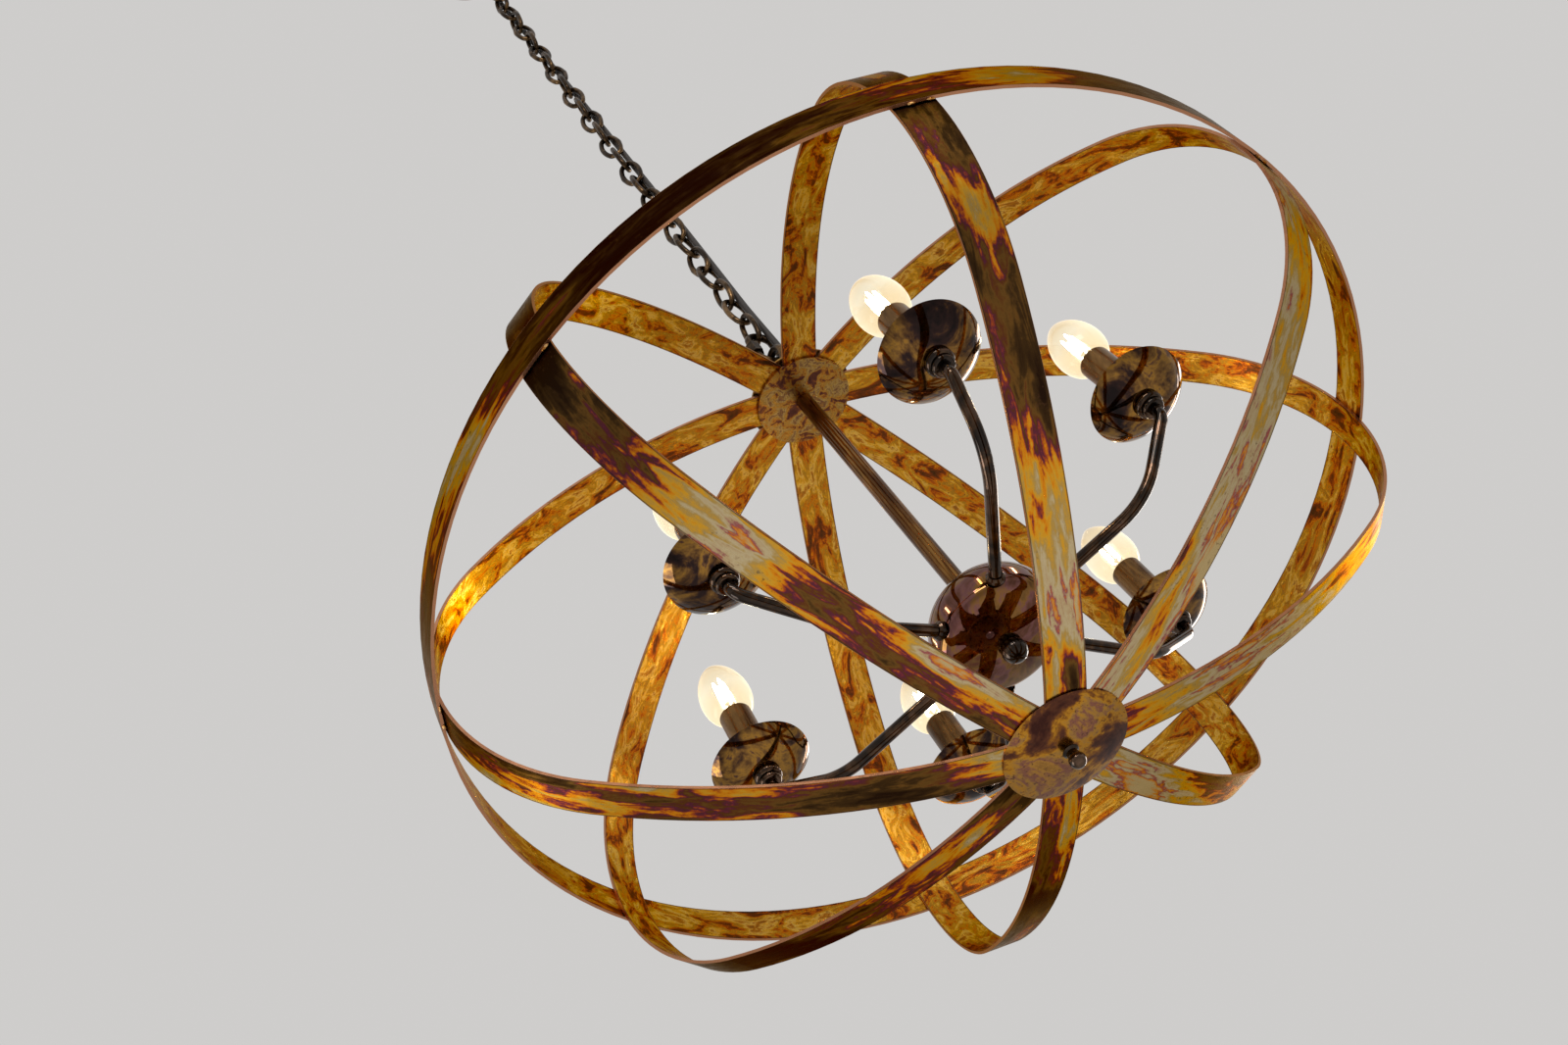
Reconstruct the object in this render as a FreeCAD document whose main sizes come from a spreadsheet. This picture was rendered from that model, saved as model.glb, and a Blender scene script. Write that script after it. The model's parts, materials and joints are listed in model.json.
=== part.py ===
import FreeCAD, Part
import math
import os
import Sketcher
from FreeCAD import Placement, Rotation, Vector

# Orb chandelier: eight half hoops and one equator band make a flattened orb, which hangs
# on a chain and holds a six-arm candle cluster. Millimetres, +Z up, origin at the ceiling.
# Heights inside the orb are measured from the centre of the equator band.

DIMENSIONS = (
    ("drop", 1230, "ceiling to the centre of the equator band"),
    # orb
    ("band_radius", 325, "outside radius of the equator band"),
    ("band_width", 28, "height of the equator band"),
    ("strip_thick", 2, "thickness of the band and of the hoops"),
    ("hoop_width", 26, "width of a hoop strip"),
    ("hoop_radius", 321.7, "middle surface of a hoop at the equator"),
    ("top_rise", 208, "middle surface of the hoops above the band, at the axis"),
    ("top_shoulder", 139.8, "radius of the upper shoulder bend"),
    ("low_rise", 194, "middle surface of the hoops below the band, at the axis"),
    ("low_shoulder", 136.9, "radius of the lower shoulder bend"),
    ("hoop_count", 8, "half hoops round the orb"),
    ("hoop_turn", -90, "direction of the first half hoop, degrees"),
    ("mitre_gap", 0.3, "gap between two mitred hoop ends"),
    ("mitre_start", 9, "distance of a hoop's end from the axis"),
    # hubs
    ("disc_thick", 1.5, "sheet of the hub discs"),
    ("inner_disc_radius", 35.5, "discs on the inside of the hoops"),
    ("top_disc_radius", 39, "disc on top of the orb"),
    ("low_disc_radius", 40, "domed disc under the orb"),
    ("low_disc_sag", 6, "depth of the domed disc"),
    ("dome_thick", 1, "sheet of the domed disc"),
    ("bolt_radius", 3, "bottom bolt"),
    ("bolt_head_radius", 6, "head of the bottom bolt"),
    ("bolt_head_depth", 4, "head of the bottom bolt"),
    ("knob_radius", 5.3, "ball knob under the orb"),
    ("knob_height", -208, "centre of the ball knob"),
    ("knob_neck", 3.8, "radius of the knob's neck"),
    # threaded parts
    ("thread_radius", 4.9, "hollow threaded tube and finial stud"),
    ("thread_bore", 3.5, "cable way in the threaded tube"),
    ("thread_hole", 5.1, "hole that a threaded tube passes"),
    ("nut_across", 14, "locknut across flats"),
    ("nut_thick", 4.5, "locknut"),
    # loops at both ends of the chain
    ("loop_wire", 3, "radius of the loop's ring wire"),
    ("loop_ring", 13, "middle radius of the loop's ring"),
    ("loop_neck", 6.5, "radius of the neck under the ring"),
    ("loop_foot", 10, "radius of the loop's foot"),
    ("loop_bore", 3.2, "cable way through the loop"),
    # chain
    ("link_wire", 4.5, "wire of a chain link"),
    ("link_inner_width", 12, "inside width of a chain link"),
    ("link_pitch", 30, "step from link to link"),
    ("link_gap", 0.3, "play between two links"),
    ("link_count", 29, "links, with the top one"),
    ("link_base", 298.35, "inside of the lowest link's lower crown"),
    ("link_turn", 93.75, "turn from link to link, degrees"),
    ("first_link_turn", -26.6, "plane of the lowest link, degrees"),
    ("quick_wire", 6, "wire of the quick link"),
    ("quick_inner_width", 12, "inside width of the quick link"),
    ("quick_inner_length", 32, "inside length of the quick link"),
    ("quick_nut_across", 9.6, "screw sleeve of the quick link, across flats"),
    ("quick_nut_length", 12, "screw sleeve of the quick link"),
    # supply cable
    ("cable_radius", 2.6, "supply cable"),
    ("cable_offset", 7.6, "cable from the chain's axis"),
    ("cable_low_offset", 9.4, "cable from the axis beside the quick link"),
    ("cable_top_offset", 10.2, "cable from the axis beside the top link"),
    ("cable_run_start", 340, "lowest cable point held at the chain, over the band"),
    ("cable_run_step", 60, "step between cable points along the chain"),
    ("cable_run_end", 1120, "highest cable point held at the chain, over the band"),
    ("cable_low_bend", 280, "cable beside the quick link, over the band"),
    ("cable_low_turn", 264, "cable beside the hub loop, over the band"),
    ("cable_low_axis", 249.5, "cable over the mouth of the hub loop"),
    ("cable_top_turn", 1169, "cable beside the top link, over the band"),
    ("cable_top_axis", 1184, "cable under the mouth of the ceiling loop"),
    ("core_radius", 0.9, "single core"),
    ("core_start_step", 1.85, "step between the cores at the end of the jacket"),
    ("core_bend_step", 2.2, "step between the cores over the threaded tube"),
    ("core_end_step", 7, "step between the poles of the terminal block"),
    # candle cluster
    ("lean_x", -1.44, "lean of the cluster about X, degrees"),
    ("lean_y", -2.24, "lean of the cluster about Y, degrees"),
    ("stem_radius", 6.25, "centre stem"),
    ("stem_bore", 5.6, "inside of the centre stem"),
    ("shell_thick", 1.2, "sheet of the body and of the dishes"),
    ("body_radius", 42, "widest radius of the body"),
    ("body_top", -65, "top of the body"),
    ("body_seam", -99, "joint of the body's two shells"),
    ("body_waist", -105, "lower edge of the upright wall"),
    ("body_bottom", -121, "lowest point of the lower shell"),
    ("upper_shoulder", 28, "shoulder bend of the upper shell"),
    ("lower_shoulder", 10, "shoulder bend of the lower shell"),
    ("finial_radius", 8.3, "ball of the finial"),
    ("finial_height", -124.5, "centre of the finial's ball"),
    ("arm_count", 6, "arms"),
    ("arm_turn", 311, "direction of the first arm, degrees"),
    ("arm_radius", 4, "arm tube"),
    ("arm_bore", 2.7, "inside of the arm tube"),
    ("arm_root", 34, "start of an arm from the axis"),
    ("arm_height", -106.4, "start of an arm"),
    ("arm_bend", 48, "long bend of an arm"),
    ("arm_neck", 12, "short bend of an arm under its collar"),
    ("arm_neck_drop", 7.6, "corner of the short bend under the collar"),
    ("candle_reach", 166.5, "dish centre from the axis"),
    ("candle_height", -44.6, "rim of a dish"),
    ("candle_lean", 1.91, "inward lean of a candle, degrees"),
    ("ferrule_radius", 6, "ring round an arm at the body"),
    ("ferrule_length", 3.5, "ring round an arm at the body"),
    ("dish_radius", 33, "rim of a dish"),
    ("dish_depth", 12, "depth of a dish"),
    ("dish_flat", 8, "flat middle of a dish"),
    ("collar_radius", 10, "turned collar under a dish"),
    ("collar_length", 9, "turned collar under a dish"),
    ("sleeve_radius", 11, "candle sleeve"),
    ("sleeve_thick", 0.8, "wall of the candle sleeve"),
    ("sleeve_top", 48.5, "top of the candle sleeve over the dish rim"),
    ("holder_radius", 9.9, "lampholder barrel"),
    ("holder_foot", 6.5, "lampholder stem"),
    ("holder_socket", 7.4, "socket of the lampholder"),
    ("holder_top", 46, "top of the lampholder over the dish rim"),
    ("holder_floor", 22, "floor of the socket over the dish rim"),
    ("cap_radius", 7, "screw cap of a bulb"),
    ("bulb_radius", 17.5, "widest part of the bulb"),
    ("bulb_neck", 8.2, "glass where it meets the cap"),
    ("bulb_base", 50, "foot of the glass over the dish rim"),
    ("bulb_belly", 67.5, "height of the widest part over the dish rim"),
    ("bulb_tip", 101.7, "tip of the bulb over the dish rim"),
    ("bulb_tip_radius", 3, "round tip of the bulb"),
    ("glass_thick", 0.8, "glass of the bulb"),
    ("filament_radius", 0.8, "one filament"),
    ("filament_ring", 4.5, "filaments from the bulb's axis"),
    ("wire_radius", 1.3, "wire inside an arm"),
    ("junction_radius", 12, "junction block inside the body"),
    ("junction_height", -105.2, "middle of the junction block"),
    ("junction_depth", 8, "junction block"),
    # ceiling fitting
    ("bracket_length", 88, "ceiling bracket"),
    ("bracket_width", 22, "ceiling bracket"),
    ("bracket_foot", 16, "length of a bracket foot"),
    ("bracket_drop", 16, "ceiling to the top of the bracket's bridge"),
    ("bracket_thick", 2, "strip of the bracket"),
    ("screw_spacing", 72, "ceiling screw holes, centre to centre"),
    ("screw_hole", 2.5, "radius of a ceiling screw hole"),
    ("cup_radius", 52, "rim of the ceiling cup"),
    ("cup_depth", 30, "ceiling to the underside of the cup"),
    ("cup_shoulder", 22, "bend of the ceiling cup"),
    ("cup_hole", 7.2, "hole in the ceiling cup"),
    ("ring_radius", 13, "knurled ring under the cup"),
    ("ring_thick", 3.8, "knurled ring under the cup"),
    ("block_length", 30, "terminal block"),
    ("block_width", 14, "terminal block"),
    ("block_depth", 9, "terminal block"),
)

# Each arm was bent by hand, so each differs a little: sideways in degrees,
# then outwards and upwards in millimetres.
ARM_SIDEWAYS = (1, -1.5, 1, 1.5, 0.5, -2.5)
ARM_OUTWARDS = (1, -6, 3, -2, 3.5, 0.5)
ARM_UPWARDS = (0, 3, -5, 3.5, 0, -2)
ARM_CORNERS = ((135, -114), (118, -112), (118, -112), (120, -110), (130, -104), (108, -106))

UP = Vector(0, 0, 1)

doc = FreeCAD.newDocument("orb_chandelier")
sheet = doc.addObject("Spreadsheet::Sheet", "dims")
for row, (alias, value, meaning) in enumerate(DIMENSIONS, start=1):
    sheet.set("A%d" % row, meaning)
    sheet.set("B%d" % row, str(value))
    sheet.setAlias("B%d" % row, alias)
doc.recompute()


class Size:
    """A number together with the sheet expression that gives it."""

    def __init__(self, value, text):
        self.value = float(value)
        self.text = text

    def __neg__(self):
        return Size(-self.value, "-(%s)" % self.text)

    def __add__(self, other):
        other = as_size(other)
        return Size(self.value + other.value, "(%s + %s)" % (self.text, other.text))

    def __sub__(self, other):
        other = as_size(other)
        return Size(self.value - other.value, "(%s - %s)" % (self.text, other.text))

    def __mul__(self, other):
        other = as_size(other)
        return Size(self.value * other.value, "(%s * %s)" % (self.text, other.text))

    def __truediv__(self, other):
        other = as_size(other)
        return Size(self.value / other.value, "(%s / %s)" % (self.text, other.text))


def as_size(number):
    return number if isinstance(number, Size) else Size(number, repr(float(number)))


def square_root(size):
    return Size(math.sqrt(size.value), "sqrt(%s)" % size.text)


class Cells:
    """Reads a cell by its alias, as a Size."""

    def __getattr__(self, alias):
        return Size(getattr(sheet, alias), "dims." + alias)


d = Cells()


# ---- helpers ---------------------------------------------------------------------------

def bind(item, **sizes):
    """Ties properties of an object to cells of the sheet."""
    for name, size in sizes.items():
        item.setExpression(name, as_size(size).text)
    return item


def shift(z):
    return Placement(Vector(0, 0, z), Rotation())


def around(angle, reach=0.0, z=0.0):
    """A place at a direction about Z, with its own X pointing outwards."""
    turn = Rotation(UP, angle)
    return Placement(turn.multVec(Vector(reach, 0, z)), turn)


def draw_outline(sketch, outline):
    """Draws a closed outline of (across, up) points, each pinned to the sheet.

    A third value is the radius of the arc to the next point: positive where the arc's
    centre lies left of the way along it, negative where it lies right.
    """
    points = [(as_size(point[0]), as_size(point[1])) for point in outline]
    radii = [as_size(point[2]) if len(point) > 2 else None for point in outline]
    starts = []
    ends = []
    for index, radius in enumerate(radii):
        here = Vector(points[index][0].value, points[index][1].value, 0)
        after = points[(index + 1) % len(points)]
        there = Vector(after[0].value, after[1].value, 0)
        if radius is None:
            edge = sketch.addGeometry(Part.LineSegment(here, there))
            starts.append((edge, 1))
            ends.append((edge, 2))
            continue
        left = radius.value > 0
        chord = there - here
        sagitta_side = Vector(-chord.y, chord.x, 0).normalize()
        reach = math.sqrt(max(radius.value ** 2 - (chord.Length / 2) ** 2, 0))
        centre = (here + there) * 0.5 + sagitta_side * (reach if left else -reach)
        first, last = (here, there) if left else (there, here)
        from_angle = math.atan2(first.y - centre.y, first.x - centre.x)
        to_angle = math.atan2(last.y - centre.y, last.x - centre.x)
        if to_angle < from_angle:
            to_angle += 2 * math.pi
        circle = Part.Circle(centre, UP, abs(radius.value))
        edge = sketch.addGeometry(Part.ArcOfCircle(circle, from_angle, to_angle))
        starts.append((edge, 1 if left else 2))
        ends.append((edge, 2 if left else 1))

    def pin(kind, size, *where):
        number = sketch.addConstraint(Sketcher.Constraint(kind, *where, size.value))
        sketch.setExpression("Constraints[%d]" % number, size.text)

    for index, (edge, vertex) in enumerate(starts):
        before = ends[index - 1]
        sketch.addConstraint(Sketcher.Constraint("Coincident", *before, edge, vertex))
    for index, (edge, vertex) in enumerate(starts):
        across, up = points[index]
        if across.value == 0:
            sketch.addConstraint(Sketcher.Constraint("PointOnObject", edge, vertex, -2))
        else:
            pin("DistanceX", across, -1, 1, edge, vertex)
        if up.value == 0:
            sketch.addConstraint(Sketcher.Constraint("PointOnObject", edge, vertex, -1))
        else:
            pin("DistanceY", up, -1, 1, edge, vertex)
        if radii[index] is not None:
            radius = radii[index]
            pin("Radius", radius if radius.value > 0 else -radius, edge)


def sketched_body(name, outline):
    """A body with one upright sketch: across is X, up is Z."""
    body = doc.addObject("PartDesign::Body", name)
    sketch = body.newObject("Sketcher::SketchObject", name + "_outline")
    upright = next(f for f in body.Origin.OriginFeatures if f.Role == "XZ_Plane")
    sketch.AttachmentSupport = (upright, [""])
    sketch.MapMode = "FlatFace"
    draw_outline(sketch, outline)
    return body, sketch


def turned(name, outline, place=Placement()):
    """A piece turned about its own Z axis."""
    body, sketch = sketched_body(name, outline)
    turn = body.newObject("PartDesign::Revolution", name + "_turn")
    turn.Profile = sketch
    turn.ReferenceAxis = (sketch, ["V_Axis"])
    turn.Angle = 360
    body.Placement = place
    return body


def padded(name, outline, width, place=Placement()):
    """A piece cut from a strip: an upright outline, widened evenly to both sides."""
    body, sketch = sketched_body(name, outline)
    pad = body.newObject("PartDesign::Pad", name + "_pad")
    pad.Profile = sketch
    pad.SideType = "Symmetric"
    bind(pad, Length=width)
    body.Placement = place
    return body


def cylinder(name, radius, height, base, place=Placement()):
    """An upright cylinder that starts at the height base."""
    item = doc.addObject("Part::Cylinder", name)
    item.Placement = place.multiply(shift(as_size(base).value))
    return bind(item, Radius=radius, Height=height)


def cut(name, base, tool):
    item = doc.addObject("Part::Cut", name)
    item.Base = base
    item.Tool = tool
    return item


def fuse(name, pieces):
    item = doc.addObject("Part::MultiFuse", name)
    item.Shapes = pieces
    return item


def group(name, shapes, place=Placement()):
    """Several separate solids of one kind, in one node."""
    item = doc.addObject("Part::Feature", name)
    item.Shape = Part.Compound(shapes)
    item.Placement = place
    return item


def placed_copies(shape, places):
    return [shape.transformed(place.toMatrix(), True) for place in places]


def own_shape(item):
    """The shape of a template piece, once the document has worked it out."""
    doc.recompute()
    return item.Shape.copy()


def tube_along(path, radius):
    """A round bar along a wire of tangent lines and arcs."""
    start = path.OrderedVertexes[0].Point
    first_edge = path.OrderedEdges[0]
    heading = first_edge.tangentAt(first_edge.FirstParameter)
    section = Part.Wire(Part.makeCircle(radius, start, heading))
    bar = path.makePipeShell([section], True, True)
    expected = math.pi * radius ** 2 * path.Length
    if abs(bar.Volume / expected - 1) > 0.002:
        raise ValueError("tube volume %.1f, section times length %.1f" % (bar.Volume, expected))
    return bar


def filleted_path(points, radii):
    """Straight runs through the points, joined by tangent arcs of the given radii."""
    edges = []
    here = points[0]
    for before, corner, after, radius in zip(points, points[1:], points[2:], radii):
        inward = (corner - before).normalize()
        outward = (after - corner).normalize()
        half_turn = inward.getAngle(outward) / 2
        reach = radius * math.tan(half_turn)
        arc_start = corner - inward * reach
        arc_end = corner + outward * reach
        bisector = (outward - inward).normalize()
        sag = radius * (1 / math.cos(half_turn) - 1)
        edges.append(Part.LineSegment(here, arc_start).toShape())
        edges.append(Part.Arc(arc_start, corner + bisector * sag, arc_end).toShape())
        here = arc_end
    edges.append(Part.LineSegment(here, points[-1]).toShape())
    return Part.Wire(edges)


def rounded_path(name, points):
    """Straight runs through hand-set points, joined by arcs as large as the runs allow."""
    radii = []
    for before, corner, after in zip(points, points[1:], points[2:]):
        half_turn = (corner - before).getAngle(after - corner) / 2
        reach = 0.45 * min((corner - before).Length, (after - corner).Length)
        radii.append(reach / math.tan(half_turn))
    path = filleted_path(points, radii)
    print("%s: length %.0f mm, least bend radius %.0f mm" % (name, path.Length, min(radii)))
    return path


def two_arc_bend(radius, rise, shoulder):
    """Half an oval: a shoulder bend that starts upright at the rim and a flatter crown
    that lies level at the axis. Gives the crown's radius and where the two meet."""
    run = radius - shoulder
    crown = (run * run + rise * rise - shoulder * shoulder) / ((rise - shoulder) * 2)
    meet_across = run * crown / (crown - shoulder)
    meet_up = (crown - rise) * shoulder / (crown - shoulder)
    return crown, meet_across, meet_up


def level_at(crown, rise, across):
    """Height of a crown bend over the rim's level, at a distance from the axis."""
    return rise - crown + square_root(crown * crown - as_size(across) * across)


# ---- places ----------------------------------------------------------------------------

orb_place = shift(-d.drop.value)
lean_axis = Vector(d.lean_x.value, d.lean_y.value, 0)
lean = Placement(Vector(), Rotation(lean_axis, lean_axis.Length))
cluster_place = orb_place.multiply(shift(d.top_rise.value)).multiply(lean)
cluster_place = cluster_place.multiply(shift(-d.top_rise.value))


def arm_direction(number):
    return d.arm_turn.value + number * 360 / d.arm_count.value + ARM_SIDEWAYS[number]


def candle_spot(number):
    """Distance and height of a dish's rim centre, in the cluster's frame."""
    reach = d.candle_reach.value + ARM_OUTWARDS[number]
    return reach, d.candle_height.value + ARM_UPWARDS[number]


def candle_place(number):
    """The frame of one candle: Z up its own leaning axis, 0 at the dish's rim."""
    reach, height = candle_spot(number)
    inward = Placement(Vector(), Rotation(Vector(0, 1, 0), -d.candle_lean.value))
    spot = around(arm_direction(number), reach, height)
    return cluster_place.multiply(spot).multiply(inward)


arms = range(int(d.arm_count.value))
candle_places = [candle_place(number) for number in arms]


# ---- equator band and half hoops -------------------------------------------------------

band_inside = d.band_radius - d.strip_thick
half_band = d.band_width / 2
turned("equator_band", [
    (band_inside, -half_band),
    (d.band_radius, -half_band),
    (d.band_radius, half_band),
    (band_inside, half_band),
], orb_place)


def hoop_side(offset):
    """One face of a hoop strip, from the top hub round to the bottom hub."""
    radius = d.hoop_radius + offset
    start = d.mitre_start - 1
    top_crown, top_across, top_up = two_arc_bend(radius, d.top_rise + offset,
                                                 d.top_shoulder + offset)
    low_crown, low_across, low_up = two_arc_bend(radius, d.low_rise + offset,
                                                 d.low_shoulder + offset)
    points = [
        (start, level_at(top_crown, d.top_rise + offset, start)),
        (top_across, top_up),
        (radius, as_size(0)),
        (low_across, -low_up),
        (start, -level_at(low_crown, d.low_rise + offset, start)),
    ]
    bends = [top_crown, d.top_shoulder + offset, d.low_shoulder + offset, low_crown]
    return points, bends


half_strip = d.strip_thick / 2
outer_points, outer_bends = hoop_side(half_strip)
inner_points, inner_bends = hoop_side(-half_strip)
strip_outline = [(*point, -bend) for point, bend in zip(outer_points, outer_bends)]
strip_outline.append(outer_points[-1])
strip_outline += [(*point, bend) for point, bend in zip(inner_points[:0:-1], inner_bends[::-1])]
strip_outline.append(inner_points[0])
hoop_strip = padded("hoop_strip", strip_outline, d.hoop_width)

mitre_slope = math.tan(math.pi / d.hoop_count.value)
mitre_half_gap = d.mitre_gap / 2
mitre_end = d.band_radius + 10
mitre_start_half = d.mitre_start * mitre_slope - mitre_half_gap
mitre_end_half = mitre_end * mitre_slope - mitre_half_gap
mitre_wedge = doc.addObject("Part::Wedge", "mitre_wedge")
mitre_wedge.Placement = Placement(Vector(), Rotation(UP, -90))
bind(mitre_wedge, Ymin=d.mitre_start, Ymax=mitre_end,
     Xmin=-mitre_start_half, Xmax=mitre_start_half, X2min=-mitre_end_half, X2max=mitre_end_half,
     Zmin=-d.band_radius, Zmax=d.band_radius, Z2min=-d.band_radius, Z2max=d.band_radius)
for number in range(int(d.hoop_count.value)):
    half_hoop = doc.addObject("Part::Common", "half_hoop_%d" % (number + 1))
    half_hoop.Base = hoop_strip
    half_hoop.Tool = mitre_wedge
    direction = d.hoop_turn.value + number * 360 / d.hoop_count.value
    half_hoop.Placement = orb_place.multiply(around(direction))


# ---- chain -----------------------------------------------------------------------------

def link_ring(wire, inner_width, inner_length):
    """A long link in the XZ plane: two straight legs and two half rings.
    Its origin is the inside of its lower crown."""
    bend = (inner_width + wire) / 2
    leg = inner_length - inner_width
    low = Vector(0, 0, inner_width / 2)
    high = low + Vector(0, 0, leg)
    across = Vector(bend, 0, 0)
    wire_parts = [
        Part.LineSegment(low + across, high + across).toShape(),
        Part.Arc(high + across, high + Vector(0, 0, bend), high - across).toShape(),
        Part.LineSegment(high - across, low - across).toShape(),
        Part.Arc(low - across, low - Vector(0, 0, bend), low + across).toShape(),
    ]
    path = Part.Wire(wire_parts)
    section = Part.Wire(Part.makeCircle(wire / 2, low + across, UP))
    return path.makePipeShell([section], True, True)


def link_place(number):
    height = d.link_base.value + number * d.link_pitch.value
    return orb_place.multiply(around(link_direction(number), 0, height))


def link_direction(number):
    return d.first_link_turn.value + number * d.link_turn.value


link_inner_length = d.link_pitch + d.link_gap
link = link_ring(d.link_wire.value, d.link_inner_width.value, link_inner_length.value)
last_link = int(d.link_count.value) - 1
group("chain_links", placed_copies(link, [link_place(number) for number in range(last_link)]))
top_link = doc.addObject("Part::Feature", "top_link")
top_link.Shape = link
top_link.Placement = link_place(last_link)

# The quick link's upper crown rests on the lowest link's lower crown.
quick_base = d.link_base + d.link_gap - d.quick_inner_length
quick_place = orb_place.multiply(around(link_direction(0) + 90, 0, quick_base.value))
quick_link = doc.addObject("Part::Feature", "quick_link")
quick_link.Shape = link_ring(d.quick_wire.value, d.quick_inner_width.value,
                             d.quick_inner_length.value)
quick_link.Placement = quick_place

quick_leg = (d.quick_inner_width + d.quick_wire) / 2
sleeve_foot = (d.quick_inner_length - d.quick_nut_length) / 2 - 2
leg_place = quick_place.multiply(Placement(Vector(-quick_leg.value, 0, 0), Rotation()))
quick_nut_blank = doc.addObject("Part::Prism", "quick_nut_blank")
quick_nut_blank.Polygon = 6
quick_nut_blank.Placement = leg_place.multiply(shift(sleeve_foot.value))
bind(quick_nut_blank, Circumradius=d.quick_nut_across / math.sqrt(3), Height=d.quick_nut_length)
quick_nut_bore = cylinder("quick_nut_bore", d.quick_wire / 2 + 0.2, d.quick_nut_length + 2,
                          sleeve_foot - 1, leg_place)
cut("quick_link_nut", quick_nut_blank, quick_nut_bore)


# ---- loops at both ends of the chain ---------------------------------------------------

def loop_piece(name, ring_height, shank_outline, place, direction):
    """A ring on a hollow neck, drawn standing up. The threaded tube enters it from below
    and the cable comes out in the middle of the ring."""
    ring = doc.addObject("Part::Torus", name + "_ring")
    upright = Placement(Vector(0, 0, ring_height.value), Rotation(Vector(1, 0, 0), 90))
    ring.Placement = place.multiply(around(direction)).multiply(upright)
    aslant = place.multiply(around(direction + 45))
    bind(ring, Radius1=d.loop_ring, Radius2=d.loop_wire)
    neck_top = ring_height - d.loop_ring + d.loop_wire
    seat = shank_outline[0][1]
    shank = turned(name + "_shank", [
        (0, seat),
        *shank_outline,
        (d.loop_neck, neck_top),
        (0, neck_top),
    ], aslant)
    bore = turned(name + "_bore", [
        (0, seat - 1),
        (d.thread_hole, seat - 1),
        (d.thread_hole, seat + 9),
        (d.loop_bore, seat + 11),
        (d.loop_bore, neck_top - 2),
        (d.loop_neck - 1.5, neck_top + 1),
        (0, neck_top + 1),
    ], aslant)
    return cut(name, fuse(name + "_solid", [ring, shank]), bore)


top_face = d.top_rise + half_strip
hub_nut_seat = top_face + d.disc_thick
hub_seat = hub_nut_seat + d.nut_thick
hub_ring_height = quick_base + d.link_gap + d.loop_wire - d.loop_ring
loop_piece("hub_loop", hub_ring_height, [
    (d.loop_foot, hub_seat),
    (d.loop_foot, hub_seat + 10),
    (d.loop_neck, hub_seat + 13),
], orb_place, link_direction(0))

# The upper loop hangs down: it is drawn standing up and turned over.
top_link_crown = d.link_base + link_inner_length + d.link_pitch * last_link
ceiling_ring_spot = top_link_crown - d.link_gap - d.loop_wire + d.loop_ring
ring_seat = d.cup_depth + d.ring_thick
loop_thread = d.cup_hole - 0.2
loop_thread_length = 7
turned_over = Placement(Vector(), Rotation(Vector(1, 0, 0), 180))
loop_piece("ceiling_loop", d.drop - ceiling_ring_spot, [
    (loop_thread, ring_seat - loop_thread_length),
    (loop_thread, ring_seat + 0.1),
    (d.loop_foot, ring_seat + 0.1),
    (d.loop_foot, ring_seat + 3),
    (d.loop_neck, ring_seat + 5),
], turned_over, -link_direction(last_link) - 90)


# ---- ceiling fitting -------------------------------------------------------------------

half_bracket = d.bracket_length / 2
foot_edge = half_bracket - d.bracket_foot
bridge_edge = foot_edge - 9
bridge_top = -d.bracket_drop
bracket_under = bridge_top - d.bracket_thick
bracket_strip = padded("bracket_strip", [
    (-half_bracket, -d.bracket_thick),
    (-foot_edge, -d.bracket_thick),
    (-(bridge_edge + 1), bracket_under),
    (bridge_edge + 1, bracket_under),
    (foot_edge, -d.bracket_thick),
    (half_bracket, -d.bracket_thick),
    (half_bracket, 0),
    (foot_edge - 1, 0),
    (bridge_edge, bridge_top),
    (-bridge_edge, bridge_top),
    (-(foot_edge - 1), 0),
    (-half_bracket, 0),
], d.bracket_width)
tab_start = d.bracket_width.value / 2 - 1
tab_corner = Vector(-d.block_length.value / 2, tab_start, bracket_under.value)
bracket_tab = doc.addObject("Part::Box", "bracket_tab")
bracket_tab.Placement = Placement(tab_corner, Rotation())
bind(bracket_tab, Length=d.block_length, Width=d.block_width + 6, Height=d.bracket_thick)


def bracket_hole(name, radius, across):
    spot = Placement(Vector(across, 0, 0), Rotation())
    return cylinder(name, radius, d.bracket_drop * 2, -d.bracket_drop * 1.5, spot)


half_spacing = d.screw_spacing.value / 2
bracket_drilling = fuse("bracket_drilling", [
    bracket_hole("nipple_hole", d.thread_hole, 0),
    bracket_hole("screw_hole_left", d.screw_hole, -half_spacing),
    bracket_hole("screw_hole_right", d.screw_hole, half_spacing),
])
cut("ceiling_bracket", fuse("bracket_blank", [bracket_strip, bracket_tab]), bracket_drilling)

terminal_block = doc.addObject("Part::Box", "terminal_block")
block_corner = tab_corner + Vector(0, 5, d.bracket_thick.value)
terminal_block.Placement = Placement(block_corner, Rotation())
bind(terminal_block, Length=d.block_length, Width=d.block_width, Height=d.block_depth)

wall = d.shell_thick
cup_rise = d.cup_depth - 0.5
crown, across, up = two_arc_bend(d.cup_radius, cup_rise, d.cup_shoulder)
crown_in, across_in, up_in = two_arc_bend(d.cup_radius - wall, cup_rise - wall,
                                          d.cup_shoulder - wall)
turned("ceiling_cup", [
    (d.cup_hole, -level_at(crown, cup_rise, d.cup_hole), crown),
    (across, -up, d.cup_shoulder),
    (d.cup_radius, 0),
    (d.cup_radius - wall, 0, wall - d.cup_shoulder),
    (across_in, -up_in, -crown_in),
    (d.cup_hole, -level_at(crown_in, cup_rise - wall, d.cup_hole)),
], shift(-0.5))

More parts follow.
